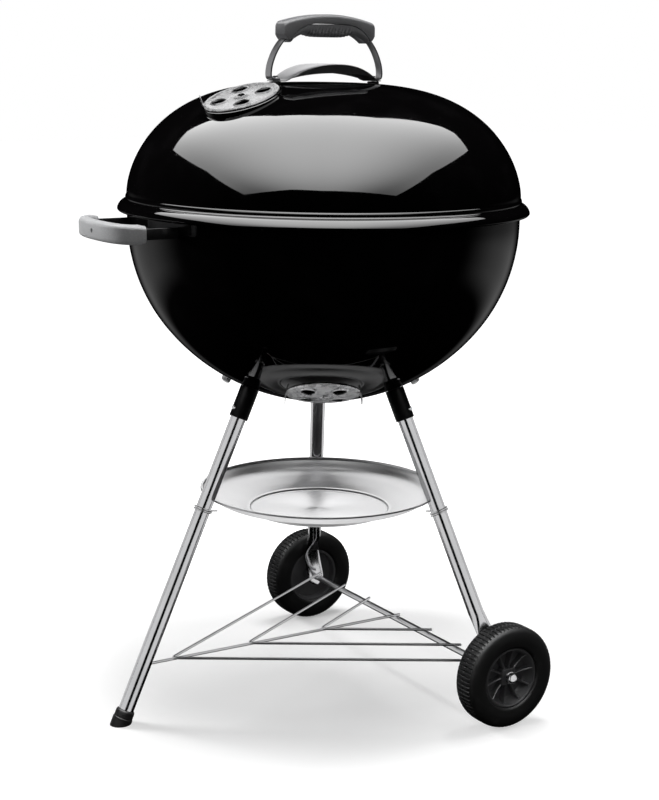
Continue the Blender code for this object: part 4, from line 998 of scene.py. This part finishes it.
def make_axle_cap(side, at):
    """A pressed cap on the axle's end."""
    start = HUB_FACE + 0.0036
    low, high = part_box("axle_cap_" + side)
    end = max(abs(low.y), abs(high.y)) - abs(at.translation.y)
    profile = [(0.0051, start), (0.0085, start), (0.0085, start + 0.0012), (0.0078, start + 0.0018),
               (0.0074, end - 0.0030), (0.0066, end - 0.0014), (0.0050, end - 0.0004), (0.0025, end),
               (0.0, end), (0.0, end - 0.0028), (0.0051, end - 0.0028)]
    mesh = bmesh.new()
    turned(mesh, profile, at, 48, loop=True)
    piece("axle_cap_" + side + "_shell", mesh, "stand", ["axle_cap_" + side], "bright_steel",
          BRIGHT_PLATE, 40.0)


def make_wheels():
    inner = min(abs(p.y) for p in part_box("tyre_left"))
    for side in ("left", "right"):
        sign = 1 if LEG_ANGLES[side] > 0 else -1
        at = aimed(Vector((AXLE.x, sign * inner, AXLE.z)), (0, sign, 0))
        make_tyre(side, at)
        make_hub(side, at)
        make_axle_cap(side, at)
    low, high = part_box("axle")
    mesh = bmesh.new()
    ends = [Vector((AXLE.x, low.y + (high.y - low.y) * i / 12, AXLE.z)) for i in range(13)]
    tube(mesh, ends, 0.00475, 32)
    piece("axle_rod", mesh, "stand", ["axle"], "wire_steel", WIRE_PLATE)


# ---------------------------------------------------------------- ash pan, clips and shelf

def make_ash_pan():
    """A shallow spun dish with a stepped ring and a rolled rim."""
    rim = PAN_RADIUS
    low = pan_low.z
    outside = [(0.0, low), (0.050, low), (PAN_RING - 0.010, low), (PAN_RING - 0.004, low + 0.0002),
               (PAN_RING, low + 0.0014), (PAN_RING + 0.004, low + 0.0032), (0.120, low + 0.0080),
               (0.138, low + 0.0145), (0.155, low + 0.0205), (rim - 0.010, low + 0.0275),
               (rim - 0.0035, low + 0.0312)]
    outside = [(max(r, 0.0), z) for r, z in flowing(outside, 5)]
    inside = offset(outside, -0.0012)
    inside = [(r, z + 0.0011 * math.exp(-((r - PAN_RING) / 0.0016) ** 2)) for r, z in inside]
    top = PAN_RIM_Z
    bead = flowing([(rim - 0.0022, top - 0.0042), (rim - 0.0003, top - 0.0028), (rim, top - 0.0016),
                    (rim - 0.0006, top - 0.0004), (rim - 0.0020, top), (rim - 0.0034, top - 0.0006),
                    (rim - 0.0042, top - 0.0020)], 3)
    mesh = bmesh.new()
    turned(mesh, outside + [tuple(p) for p in bead] + list(reversed(inside)), sides=144)
    piece("ash_pan_dish", mesh, "stand", ["ash_pan"], "pan_aluminium", SPUN, 30.0)


def make_pan_clip(side):
    """Two turns of wire about the leg, with a hook that reaches under the pan's rim."""
    angle = LEG_ANGLES[side]
    middle = leg_point(angle, PAN_RIM_Z - 0.0115)
    along = (leg_point(angle, PAN_RIM_Z + 0.1) - middle).normalized()
    turn = math.radians(angle)
    tangent = Vector((-math.sin(turn), math.cos(turn), 0))
    inward = along.cross(tangent).normalized()
    if inward.dot(Vector((KETTLE_X, 0, middle.z)) - middle) < 0:
        inward = -inward
    coil = LEG_TUBE + CLIP_WIRE + 0.0002
    pitch = CLIP_WIRE * 2.3
    turns = 1.9
    steps = 64
    points = []
    for i in range(steps + 1):
        a = 2 * math.pi * turns * i / steps - math.radians(70)
        points.append(middle + along * (pitch * turns * (i / steps - 0.5))
                      - coil * (math.cos(a) * tangent + math.sin(a) * inward))
    last = points[-1]
    level = Vector((KETTLE_X, 0, 0)) - Vector((last.x, last.y, 0))
    level.normalize()
    for reach, drop in ((0.0025, 0.0003), (0.005, 0.0007), (0.0075, 0.0011), (0.010, 0.0014)):
        points.append(last + level * reach - UP * drop)
    mesh = bmesh.new()
    tube(mesh, points, CLIP_WIRE, 14)
    piece("pan_clip_" + side + "_wire", mesh, "stand", ["pan_clip_" + side], "wire_steel", BRIGHT_PLATE)


def make_rack():
    """Shelf wires: a spine into the plain leg and three bent chevrons that lie on the axle."""
    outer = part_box("bottom_rack")[1].y - RACK_WIRE
    slope = outer / (RACK_CORNERS[0] + RACK_PAST_AXLE)
    spine_end = around(LEG_FOOT_RADIUS - LEG_SPLAY * RACK_Z, 180.0, RACK_Z)
    far = AXLE.x + RACK_WIRE_PAST
    mesh = bmesh.new()
    run = [spine_end + Vector((0.001, 0, 0)), Vector((far, 0, RACK_Z))]
    tube(mesh, [run[0].lerp(run[1], i / 20) for i in range(21)], RACK_WIRE, 16)
    lift = RACK_WIRE * 0.9
    for corner in RACK_CORNERS:
        apex = AXLE.x - corner
        arms = []
        for sign in (-1, 1):
            end = Vector((far, sign * slope * (corner + RACK_WIRE_PAST), RACK_Z + lift))
            start = Vector((apex + 0.010, sign * slope * 0.010, RACK_Z + lift))
            arm = [start.lerp(end, i / 10) for i in range(11)]
            arms.append(list(reversed(arm)) if sign < 0 else arm)
        bend = flowing([arms[0][-2], arms[0][-1], Vector((apex + 0.0042, 0, RACK_Z + lift)),
                        arms[1][0], arms[1][1]], 8)
        tube(mesh, arms[0][:-2] + bend + arms[1][2:], RACK_WIRE, 16)
    piece("bottom_rack_wires", mesh, "stand", ["bottom_rack"], "wire_steel", WIRE_PLATE)


# ---------------------------------------------------------------- lid handle

def handle_axes():
    turn = math.radians(HANDLE_ANGLE)
    return Vector((math.cos(turn), math.sin(turn), 0)), Vector((-math.sin(turn), math.cos(turn), 0))


def on_handle(along, z, across=0.0):
    run, side = handle_axes()
    return Vector((KETTLE_X, 0, z)) + run * along + side * across


def strap_path():
    """One half of the strap, from its foot's tip to inside the grip, then mirrored."""
    z = SHIELD_LOW_Z + SHIELD_SHEET + 0.0003 + STRAP_THICKNESS / 2
    half = [(STRAP_FOOT - 0.012, z), (STRAP_FOOT - 0.006, z), (STRAP_FOOT - 0.002, z + 0.0001),
            (STRAP_FOOT + 0.0016, z + 0.0012), (STRAP_FOOT + 0.0034, z + 0.0050),
            (STRAP_FOOT + 0.0032, z + 0.012), (STRAP_FOOT + 0.0015, z + 0.020)]
    top = GRIP_TOP - GRIP_DROP - 0.0105
    leg_end = Vector((STRAP_TOP, top - 0.010))
    start = Vector(half[-1])
    bulge = Vector((STRAP_FOOT - 0.006, (start.y + leg_end.y) / 2 + 0.004))
    for share in (0.2, 0.4, 0.6, 0.8, 1.0):
        point = (1 - share)**2 * start + 2 * share * (1 - share) * bulge + share**2 * leg_end
        half.append((point.x, point.y))
    half += [(STRAP_TOP - 0.004, top - 0.002), (STRAP_TOP - 0.012, top + 0.0025),
             (STRAP_TOP * 0.5, top + 0.0055)]
    return flowing(half + [(0.0, top + 0.0065)] + [(-s, h) for s, h in reversed(half)], 4)


def make_strap():
    mesh = bmesh.new()
    _, side = handle_axes()
    strip(mesh, [on_handle(s, z) for s, z in strap_path()], side, STRAP_WIDTH, STRAP_THICKNESS, 0.0007)
    piece("lid_handle_strap_steel", mesh, "lid", ["lid_handle_strap"], "strap_steel", SATIN, 40.0)


def grip_crest(along):
    share = along / GRIP_HALF
    return GRIP_TOP - GRIP_DROP * share * share


def grip_seam(along):
    """Height of the joint between the cap and the insert."""
    share = min(abs(along) / (GRIP_HALF - 0.009), 1.0)
    return GRIP_TOP - 0.0130 - 0.0235 * share**4.0


def grip_ring(s, low, high, half_width, top_soft, low_soft):
    """A closed outline across the grip at one station, as (across, z)."""
    top_soft = min(top_soft, (high - low) * 0.48)
    low_soft = min(low_soft, (high - low) * 0.48)
    ring = arc((half_width - top_soft, high - top_soft), top_soft, 0, 90, 6)
    ring += arc((-half_width + top_soft, high - top_soft), top_soft, 90, 180, 6)
    ring += arc((-half_width + low_soft, low + low_soft), low_soft, 180, 270, 3)
    ring += arc((half_width - low_soft, low + low_soft), low_soft, 270, 360, 3)
    return [on_handle(s, z, a) for a, z in ring]


def make_grip():
    half = GRIP_HALF
    end_low = GRIP_TOP - GRIP_DROP - 0.0185
    stations = []
    steps = 72
    for i in range(steps + 1):
        s = (half - 0.0002) * math.sin(math.pi * (i / steps - 0.5))
        stations.append(s)
    rings = []
    for s in stations:
        near_end = max(abs(s) - (half - 0.0060), 0.0) / 0.0060
        shrink = 0.0042 * (1 - math.sqrt(max(1 - near_end**2, 0.0)))
        high = grip_crest(s) - shrink
        low = grip_seam(s)
        past = max(abs(s) - (half - 0.009), 0.0) / 0.009
        low = low + (end_low - low) * eased(past)
        rings.append(grip_ring(s, low + shrink * 0.3, high, GRIP_WIDTH / 2 - shrink * 0.7, 0.0050, 0.0006))
    mesh = bmesh.new()
    skin(mesh, rings)
    piece("lid_handle_cap_moulding", mesh, "lid", ["lid_handle_cap"], "grip_grey", NYLON, 40.0)
    reach = half - 0.0125
    rings = []
    steps = 168
    for i in range(steps + 1):
        s = reach * (2 * i / steps - 1)
        share = abs(s) / reach
        belly = GRIP_TOP - 0.0316 + 0.0040 * math.exp(-((abs(s) - 0.046) / 0.013) ** 2) - 0.0078 * share**7
        high = grip_seam(s) - 0.0008
        if high - belly < 0.002:
            belly = high - 0.002
        wide = GRIP_WIDTH / 2 - 0.0006
        grooved = eased((0.041 - abs(s)) / 0.004)
        wave = 0.5 + 0.5 * math.cos(2 * math.pi * s / 0.0060)
        cut = 0.0030 * grooved * (1 - wave**0.6)
        ring = []
        depth = high - belly
        for across, z in grip_outline(wide, belly, high):
            under = eased((high - 0.004 - z) / (depth * 0.45))
            shift = -0.0018 * under if abs(across) > wide * 0.5 else 0.0
            pull = cut * under
            across = across - math.copysign(min(pull, abs(across)), across)
            z = z + (pull if z < belly + 0.003 else 0.0)
            ring.append(on_handle(s + shift, z, across))
        rings.append(ring)
    mesh = bmesh.new()
    skin(mesh, rings)
    piece("lid_handle_insert_moulding", mesh, "lid", ["lid_handle_insert"], "grip_grey", NYLON, 40.0)


def grip_outline(wide, low, high):
    """The insert's outline: straight sides that run into a round belly."""
    soft = min(0.0065, (high - low) * 0.7)
    outline = [(wide, high), (-wide, high)]
    for k in range(4):
        outline.append((-wide, high - (high - low - soft) * (k + 1) / 4))
    outline += arc((-wide + soft, low + soft), soft, 180, 270, 7)[1:]
    outline += [(-wide * 0.25, low), (wide * 0.25, low)]
    outline += arc((wide - soft, low + soft), soft, 270, 360, 7)[:-1]
    for k in range(4):
        outline.append((wide, high - (high - low - soft) * (4 - k) / 4))
    return outline


def make_heat_shield():
    """A leaf-shaped sheet arched between the feet, its long edges turned down."""
    reach = STRAP_FOOT + 0.0012
    columns = 72
    rings = []
    for i in range(columns + 1):
        s = reach * (2 * i / columns - 1)
        share = min(abs(s) / (STRAP_FOOT - 0.014), 1.0)
        z = SHIELD_LOW_Z + SHIELD_SHEET + SHIELD_ARCH * (1 - share**2.2) ** 0.95
        share = min(abs(s) / STRAP_FOOT, 1.0)
        wide = (0.020 + 0.040 * (1 - share**2) ** 0.75) / 2
        tip = eased((abs(s) - (reach - 0.006)) / 0.006)
        wide = wide * (1 - 0.35 * tip)
        drop = SHIELD_FLANGE * max(0.0, 1 - (abs(s) / (STRAP_FOOT - 0.016))**2)
        bend = z - min(drop, 0.0022) * 0.4
        top = [(-wide, z - drop), (-wide + 0.0002, z - drop * 0.5), (-wide + 0.0008, bend),
               (-wide + 0.0030, z), (-wide * 0.5, z + 0.0002), (0.0, z + 0.0003),
               (wide * 0.5, z + 0.0002), (wide - 0.0030, z), (wide - 0.0008, bend),
               (wide - 0.0002, z - drop * 0.5), (wide, z - drop)]
        sheet = SHIELD_SHEET
        inner = []
        for a, h in reversed(top):
            if drop <= 0.001:
                inner.append((a, h - sheet))
            else:
                down = sheet if abs(a) < wide - 0.001 else 0.0003
                inner.append((a - math.copysign(sheet, a), h - down))
        rings.append([on_handle(s, h, a) for a, h in top + inner])
    mesh = bmesh.new()
    skin(mesh, rings)
    piece("lid_heat_shield_sheet", mesh, "lid", ["lid_heat_shield"], "strap_steel", SATIN, 40.0)


def make_handle_seats():
    for name, sign in (("near", -1), ("far", 1)):
        low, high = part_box("handle_seat_" + name)
        spot = on_handle(sign * (STRAP_FOOT - 0.008), 0.0)
        at = Matrix.Translation((spot.x, spot.y, 0))
        wide = 0.0085
        profile = [(0.0, low.z - 0.004), (wide, low.z - 0.004), (wide, high.z - 0.0010),
                   (wide - 0.0004, high.z - 0.0003), (wide - 0.0012, high.z), (0.0, high.z)]
        mesh = bmesh.new()
        turned(mesh, profile, at, 40)
        made = solid("handle_seat_" + name + "_spacer", mesh)
        mesh = bmesh.new()
        turned(mesh, [(0.0, LID_LIP_Z)] + offset(lid_outline(), 0.0002), sides=96)
        carve(made, mesh)
        settle(made, "lid", ["handle_seat_" + name], "black_plastic", MOULDING, 40.0)
        low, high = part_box("handle_bolt_" + name)
        head = high.z - 0.0032
        profile = [(0.0, low.z), (0.0025, low.z), (0.0025, head), (0.0045, head), (0.0045, head + 0.0012),
                   (0.0040, head + 0.0021), (0.0028, head + 0.0029), (0.0012, head + 0.0032),
                   (0.0, head + 0.0032)]
        mesh = bmesh.new()
        turned(mesh, profile, at, 40)
        made = solid("handle_bolt_" + name + "_screw", mesh)
        mesh = bmesh.new()
        rings = [[Vector((spot.x + a, spot.y + b, z)) for a, b in rounded_box(0.0012, 0.0052, 0.0002, 2)]
                 for z in (head + 0.0020, head + 0.0050)]
        skin(mesh, rings)
        carve(made, mesh)
        settle(made, "lid", ["handle_bolt_" + name], "bright_steel", BRIGHT_PLATE, 35.0)


# ---------------------------------------------------------------- bowl handle

def side_path(inset, steps=56):
    """Plan of the bowl handle: a bow whose ends turn in, at a depth behind its outer face."""
    made = []
    for i in range(steps + 1):
        turn = math.radians(-88 + 176 * i / steps)
        y = (SIDE_HALF_SPAN - inset) * math.copysign(abs(math.sin(turn))**0.8, math.sin(turn))
        fall = 1 - abs(math.cos(turn))**0.62
        x = -(SIDE_REACH - inset) + (SIDE_BOW - inset * 0.35) * fall
        made.append(Vector((KETTLE_X + x, y, SIDE_Z)))
    return made


def make_side_handle():
    path = side_path(SIDE_DEPTH / 2)
    last = len(path) - 1
    rings = []
    for i, point in enumerate(path):
        along = (path[min(i + 1, last)] - path[max(i - 1, 0)]).normalized()
        out = along.cross(UP).normalized()
        end = min(i, last - i)
        soft = 1 - 0.12 * (1 - eased(end / 3.0))
        outline = rounded_box(SIDE_DEPTH * 0.96 * soft, SIDE_HEIGHT * 0.99 * soft, 0.0062, 6)
        rings.append([point + out * a + UP * b for a, b in outline])
    mesh = bmesh.new()
    skin(mesh, rings)
    made = solid("side_handle_grip_moulding", mesh)
    face = Vector((KETTLE_X - SIDE_REACH, 0, SIDE_Z))
    mesh = bmesh.new()
    rod(mesh, face - Vector((0.01, 0, 0)), face + Vector((0.0080, 0, 0)), 0.0030, 32)
    carve(made, mesh)
    # The grip takes the lighter copy of the grey nylon; its extra lightness is painted light from the left.
    settle(made, "stand", ["side_handle_grip"], "grip_grey", SIDE_NYLON_PAINTED_LIGHT, 40.0)
    middle = side_path(SIDE_DEPTH * 0.55, 56)[3:-3]
    arm_y = abs(middle[0].y)
    wall = math.sqrt((BOWL_RADIUS + 0.0005)**2 - (arm_y + 0.003)**2)
    near = Vector((KETTLE_X - wall, -arm_y, SIDE_Z))
    far = Vector((KETTLE_X - wall, arm_y, SIDE_Z))
    mesh = bmesh.new()
    start = [near.lerp(middle[0], i / 6) for i in range(6)]
    end = [middle[-1].lerp(far, (i + 1) / 6) for i in range(6)]
    strip(mesh, start + middle + end, UP, 0.015, 0.003, 0.0008)
    piece("side_handle_bracket_strap", mesh, "stand", ["side_handle_bracket"], "bracket_black", PAINT, 40.0)
    low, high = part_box("side_handle_screw")
    profile = [(0.0, 0.0025), (0.0026, 0.0025), (0.0026, 0.0006), (0.0020, 0.0001), (0.0009, 0.0001),
               (0.0008, 0.0010), (0.0, 0.0010)]
    mesh = bmesh.new()
    turned(mesh, profile, aimed(Vector((low.x, 0, SIDE_Z)), (1, 0, 0)), 32)
    piece("side_handle_screw_head", mesh, "stand", ["side_handle_screw"], "bright_steel", BRIGHT_PLATE, 40.0)


# ---------------------------------------------------------------- grates and their brackets

def make_grate(name, z, bars, bar, ring):
    """Parallel bars welded onto a ring, with two bars across under them."""
    low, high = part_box(name)
    inside = (high.x - low.x) / 2 - ring
    mesh = bmesh.new()
    tube(mesh, [around(inside, 360.0 * i / 144, z) for i in range(144)], ring * 0.98, 14, loop=True)
    for i in range(bars):
        y = inside * (2 * (i + 1) / (bars + 1) - 1)
        half = math.sqrt(inside**2 - y**2)
        rod(mesh, (KETTLE_X - half, y, z + ring * 0.4), (KETTLE_X + half, y, z + ring * 0.4), bar, 12, True)
    for share in (-0.45, 0.45):
        x = inside * share
        half = math.sqrt(inside**2 - x**2)
        rod(mesh, (KETTLE_X + x, -half, z - ring * 0.45), (KETTLE_X + x, half, z - ring * 0.45),
            bar, 12, True)
    piece(name + "_wires", mesh, name, [name], "grate_steel", GRATE_PLATE)


def make_brackets():
    for index, angle in enumerate((30.0, 120.0, 210.0, 300.0), 1):
        low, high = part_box("grate_bracket_" + str(index))
        turn = math.radians(angle)
        tangent = Vector((-math.sin(turn), math.cos(turn), 0))
        inner = BOWL_RADIUS - WALL - 0.0012
        low_z = low.z + 0.00125
        high_z = high.z - 0.00125
        path = [(0.199, low_z), (0.212, low_z), (0.2175, low_z + 0.0010), (0.2195, low_z + 0.0055),
                (0.2365, (low_z + high_z) / 2), (0.2510, high_z - 0.0050), (0.2535, high_z - 0.0008),
                (0.2575, high_z), (inner - 0.002, high_z), (inner, high_z)]
        mesh = bmesh.new()
        strip(mesh, [around(r, angle, z) for r, z in flowing(path, 4)], tangent, 0.022, 0.0025, 0.0006)
        made = solid("grate_bracket_" + str(index) + "_step", mesh)
        shrunk = offset(bowl_outline(), -WALL - 0.0002)
        mesh = bmesh.new()
        turned(mesh, shrunk + [(shrunk[-1][0], BOWL_WIDE_Z + 0.01), (0.0, BOWL_WIDE_Z + 0.01)], sides=96)
        carve(made, mesh, "INTERSECT")
        settle(made, "stand", ["grate_bracket_" + str(index)], "grate_steel", GRATE_PLATE, 40.0)


# ---------------------------------------------------------------- build

make_bowl()
make_lid()
make_dampers()
make_plain_leg()
make_foot_cap()
for leg in ("left", "right"):
    make_wheel_leg(leg)
for leg in LEG_ANGLES:
    make_socket(leg)
    make_button(leg)
    make_pan_clip(leg)
make_wheels()
make_ash_pan()
make_rack()
make_strap()
make_grip()
make_heat_shield()
make_handle_seats()
make_side_handle()
make_grate("cooking_grate", COOKING_GRATE_Z, 27, 0.0019, 0.0030)
make_grate("charcoal_grate", CHARCOAL_GRATE_Z, 13, 0.0034, 0.0030)
make_brackets()


# ---------------------------------------------------------------- studio

CAMERA_TURN = 238.34      # the camera's side of the kettle, about its axis
CAMERA_REACH = 2.3909
CAMERA_HEIGHT = 0.9433
CAMERA_PITCH = 11.859
CAMERA_YAW = 0.076
CAMERA_ROLL = 0.83
CAMERA_LENS = 74.58


def from_camera(turn, reach, z):
    """A point by its angle from the camera's side, positive to the camera's right."""
    return around(reach, CAMERA_TURN + turn, z)


def make_camera():
    data = bpy.data.cameras.new("studio_camera")
    made = bpy.data.objects.new("studio_camera", data)
    bpy.context.scene.collection.objects.link(made)
    spot = around(CAMERA_REACH, CAMERA_TURN, CAMERA_HEIGHT)
    flat = Vector((KETTLE_X, 0, 0)) - Vector((spot.x, spot.y, 0))
    flat.normalize()
    right = flat.cross(UP)
    pitch = math.radians(CAMERA_PITCH)
    yaw = math.radians(CAMERA_YAW)
    roll = math.radians(CAMERA_ROLL)
    level = flat * math.cos(yaw) + right * math.sin(yaw)
    ahead = level * math.cos(pitch) - UP * math.sin(pitch)
    right = (right * math.cos(yaw) - flat * math.sin(yaw)).normalized()
    up = right.cross(ahead)
    turned_right = right * math.cos(roll) + up * math.sin(roll)
    turned_up = up * math.cos(roll) - right * math.sin(roll)
    axes = Matrix((turned_right, turned_up, -ahead)).transposed().to_4x4()
    made.matrix_world = Matrix.Translation(spot) @ axes
    data.lens = CAMERA_LENS
    data.sensor_width = 36.0
    data.shift_x = 0.0082
    data.shift_y = -0.0012
    data.clip_start = 0.05
    data.clip_end = 60.0
    bpy.context.scene.camera = made


def make_floor():
    """A wide pale floor. Its diffuse part takes the lamps' shadows, and its glow is weaker near the kettle,
    a painted shadow, so it runs out into white.
    """
    mesh = bmesh.new()
    bmesh.ops.create_grid(mesh, x_segments=1, y_segments=1, size=14.0)
    made = solid("studio_floor", mesh)
    made.location.z = -0.0004
    f = Finish("studio_floor")
    middle = from_camera(180.0, 0.14, 0.0)
    spot = f.node("VectorMath", {"operation": "SUBTRACT"}, {0: f.place(), 1: middle})
    reach = f.node("VectorMath", {"operation": "LENGTH"}, {0: spot}, 1)
    diffuse = f.node("BsdfDiffuse", None, {"Color": (0.62, 0.62, 0.62)})
    # Painted shadow: the glow is weakest within about 0.26 m of a point 0.14 m behind the kettle's axis and
    # reaches full white past 0.66 m.
    glow = f.node("Emission", None, {"Strength": 0.30 + 0.78 * reach.eased(0.26, 0.66)})
    both = f.node("AddShader", None, {0: diffuse, 1: glow})
    f.node("OutputMaterial", None, {"Surface": both})
    made.data.materials.append(f.material)
    made.visible_glossy = False
    made.visible_diffuse = False


def group_of(name, *slots):
    """The pieces with these finishes, for a card that lights only them."""
    group = bpy.data.collections.new(name)
    for slot in slots:
        for made in pieces[slot]:
            group.objects.link(made)
    return group


def make_card(name, corners, strength, receivers, fade=None):
    """A softbox or a white board. It shows only in reflections, and only in its receivers."""
    mesh = bmesh.new()
    mesh.faces.new([mesh.verts.new(corner) for corner in corners])
    data = bpy.data.meshes.new(name)
    mesh.to_mesh(data)
    mesh.free()
    made = bpy.data.objects.new(name, data)
    bpy.context.scene.collection.objects.link(made)
    f = Finish(name)
    power = strength * fade(f) if fade else strength
    glow = f.node("Emission", None, {"Strength": power})
    clear = f.node("BsdfTransparent")
    f.node("OutputMaterial", None, {"Surface": f.node("AddShader", None, {0: glow, 1: clear})})
    data.materials.append(f.material)
    made.visible_camera = False
    made.visible_diffuse = False
    made.visible_shadow = False
    made.light_linking.receiver_collection = receivers


SOFTBOX = [(-2.02, 1.01), (-1.35, 1.02), (-0.96, 0.83), (-0.64, 0.52), (-0.34, 0.31), (-0.02, 0.24),
           (0.37, 0.31), (0.75, 0.58), (1.00, 0.76), (1.22, 0.85), (1.76, 0.78), (1.81, -0.65),
           (2.48, -2.86), (0.94, -2.71), (-0.09, -2.70), (-0.84, -2.55), (-2.97, -2.96),
           (-2.08, -0.54)]
SOFTBOX_Z = 2.0


def make_softbox(receivers):
    """The big overhead softbox that the lid mirrors, dimmer towards its edges."""
    turn = math.radians(CAMERA_TURN - 270.0)
    corners = []
    for x, y in SOFTBOX:
        corners.append(Vector((KETTLE_X + x * math.cos(turn) - y * math.sin(turn),
                               x * math.sin(turn) + y * math.cos(turn), SOFTBOX_Z)))

    def fade(f):
        spot = f.place()
        side = f.node("SeparateXYZ", None, {"Vector": spot}, 0) - KETTLE_X
        depth = f.node("SeparateXYZ", None, {"Vector": spot}, 1)
        across = side * math.cos(turn) + depth * math.sin(turn)
        ahead = depth * math.cos(turn) - side * math.sin(turn)
        left = 1.0 - across.eased(-0.2, -2.1) * 0.60
        right = 1.0 - across.eased(0.1, 1.8) * 0.66
        front = 0.50 + ahead.eased(-2.9, -0.6) * 0.50
        return left * right * front
    make_card("softbox", corners, 9.6, receivers, fade)


def make_surround():
    """The pale wall low behind the kettle. It fades out towards the camera and overhead."""
    world = bpy.data.worlds.new("studio")
    bpy.context.scene.world = world
    world.use_nodes = True
    f = Finish("studio", world.node_tree)
    camera = f.node("LightPath", output=0)
    glossy = f.node("LightPath", output=3)
    spot = f.node("TexCoord", output=0)
    x = f.node("SeparateXYZ", None, {"Vector": spot}, 0)
    y = f.node("SeparateXYZ", None, {"Vector": spot}, 1)
    z = f.node("SeparateXYZ", None, {"Vector": spot}, 2)
    turn = math.radians(CAMERA_TURN)
    behind = x * -math.cos(turn) + y * -math.sin(turn)
    level = z.eased(-0.03, -0.20) * z.eased(-0.50, -0.32)
    wall = behind.eased(-0.05, 0.50) * (1.0 - behind.eased(0.80, 0.94)) * level * 0.27
    light = camera + (1.0 - camera) * (glossy * wall + (1.0 - glossy) * 0.16)
    back = f.node("Background", None, {"Color": (1.0, 1.0, 1.0), "Strength": light})
    f.node("OutputWorld", None, {"Surface": back})


def make_lamp(name, spot, aim, power, size):
    """A soft lamp that lights the pieces but doesn't show in them."""
    data = bpy.data.lights.new(name, "AREA")
    data.energy = power
    data.shape = "DISK"
    data.size = size
    made = bpy.data.objects.new(name, data)
    made.matrix_world = aimed(Vector(spot), Vector(spot) - Vector(aim))
    bpy.context.scene.collection.objects.link(made)
    made.visible_glossy = False
    made.visible_camera = False


def board(name, turn_from, turn_to, reach, low, high, strength, receivers):
    """An upright white board, from one side to another of the camera's line."""
    corners = [from_camera(turn_from, reach, low), from_camera(turn_to, reach, low),
               from_camera(turn_to, reach, high), from_camera(turn_from, reach, high)]
    make_card(name, corners, strength, receivers)


make_camera()
make_floor()
make_surround()
dark_pieces = group_of("dark_pieces", "enamel_black", "bracket_black", "black_plastic", "grip_grey",
                       "tyre_black")
tube_pieces = group_of("tube_pieces", "leg_steel", "bright_steel", "wire_steel", "grate_steel")
sheet_pieces = group_of("sheet_pieces", "strap_steel", "vent_aluminium", "pan_aluminium")
make_softbox(dark_pieces)
# Boards for the tubes and wires leave a dark slot at the camera's side and one behind.
board("left_board", -20.0, -90.0, 2.6, -1.2, 2.4, 0.72, tube_pieces)
board("left_far_board", -94.0, -146.0, 2.6, -1.2, 2.4, 0.62, tube_pieces)
board("right_board", 14.0, 90.0, 2.6, -1.2, 2.4, 0.72, tube_pieces)
board("right_far_board", 94.0, 146.0, 2.6, -1.2, 2.4, 0.62, tube_pieces)
board("sheet_left_board", -60.0, -130.0, 2.5, 0.2, 2.6, 0.55, sheet_pieces)
board("sheet_back_board", 158.0, 202.0, 2.5, 0.35, 2.8, 1.5, sheet_pieces)
make_card("sheet_floor_card", [from_camera(-70.0, 1.5, 0.002), from_camera(70.0, 1.5, 0.002),
                               from_camera(110.0, 1.0, 0.002), from_camera(-110.0, 1.0, 0.002)],
          0.85, sheet_pieces)
make_card("sheet_top_card", [from_camera(45.0, 1.6, 2.3), from_camera(135.0, 1.6, 2.3),
                             from_camera(225.0, 1.6, 2.3), from_camera(315.0, 1.6, 2.3)],
          0.75, sheet_pieces)
make_lamp("key_lamp", from_camera(155.0, 0.55, 2.7), (KETTLE_X, 0, 0.4), 52.0, 1.5)
make_lamp("left_lamp", from_camera(-108.0, 2.2, 1.1), (KETTLE_X, 0, 0.65), 50.0, 1.0)
make_lamp("right_lamp", from_camera(112.0, 2.6, 1.3), (KETTLE_X, 0, 0.6), 18.0, 1.2)

bpy.context.scene.view_settings.view_transform = "Standard"
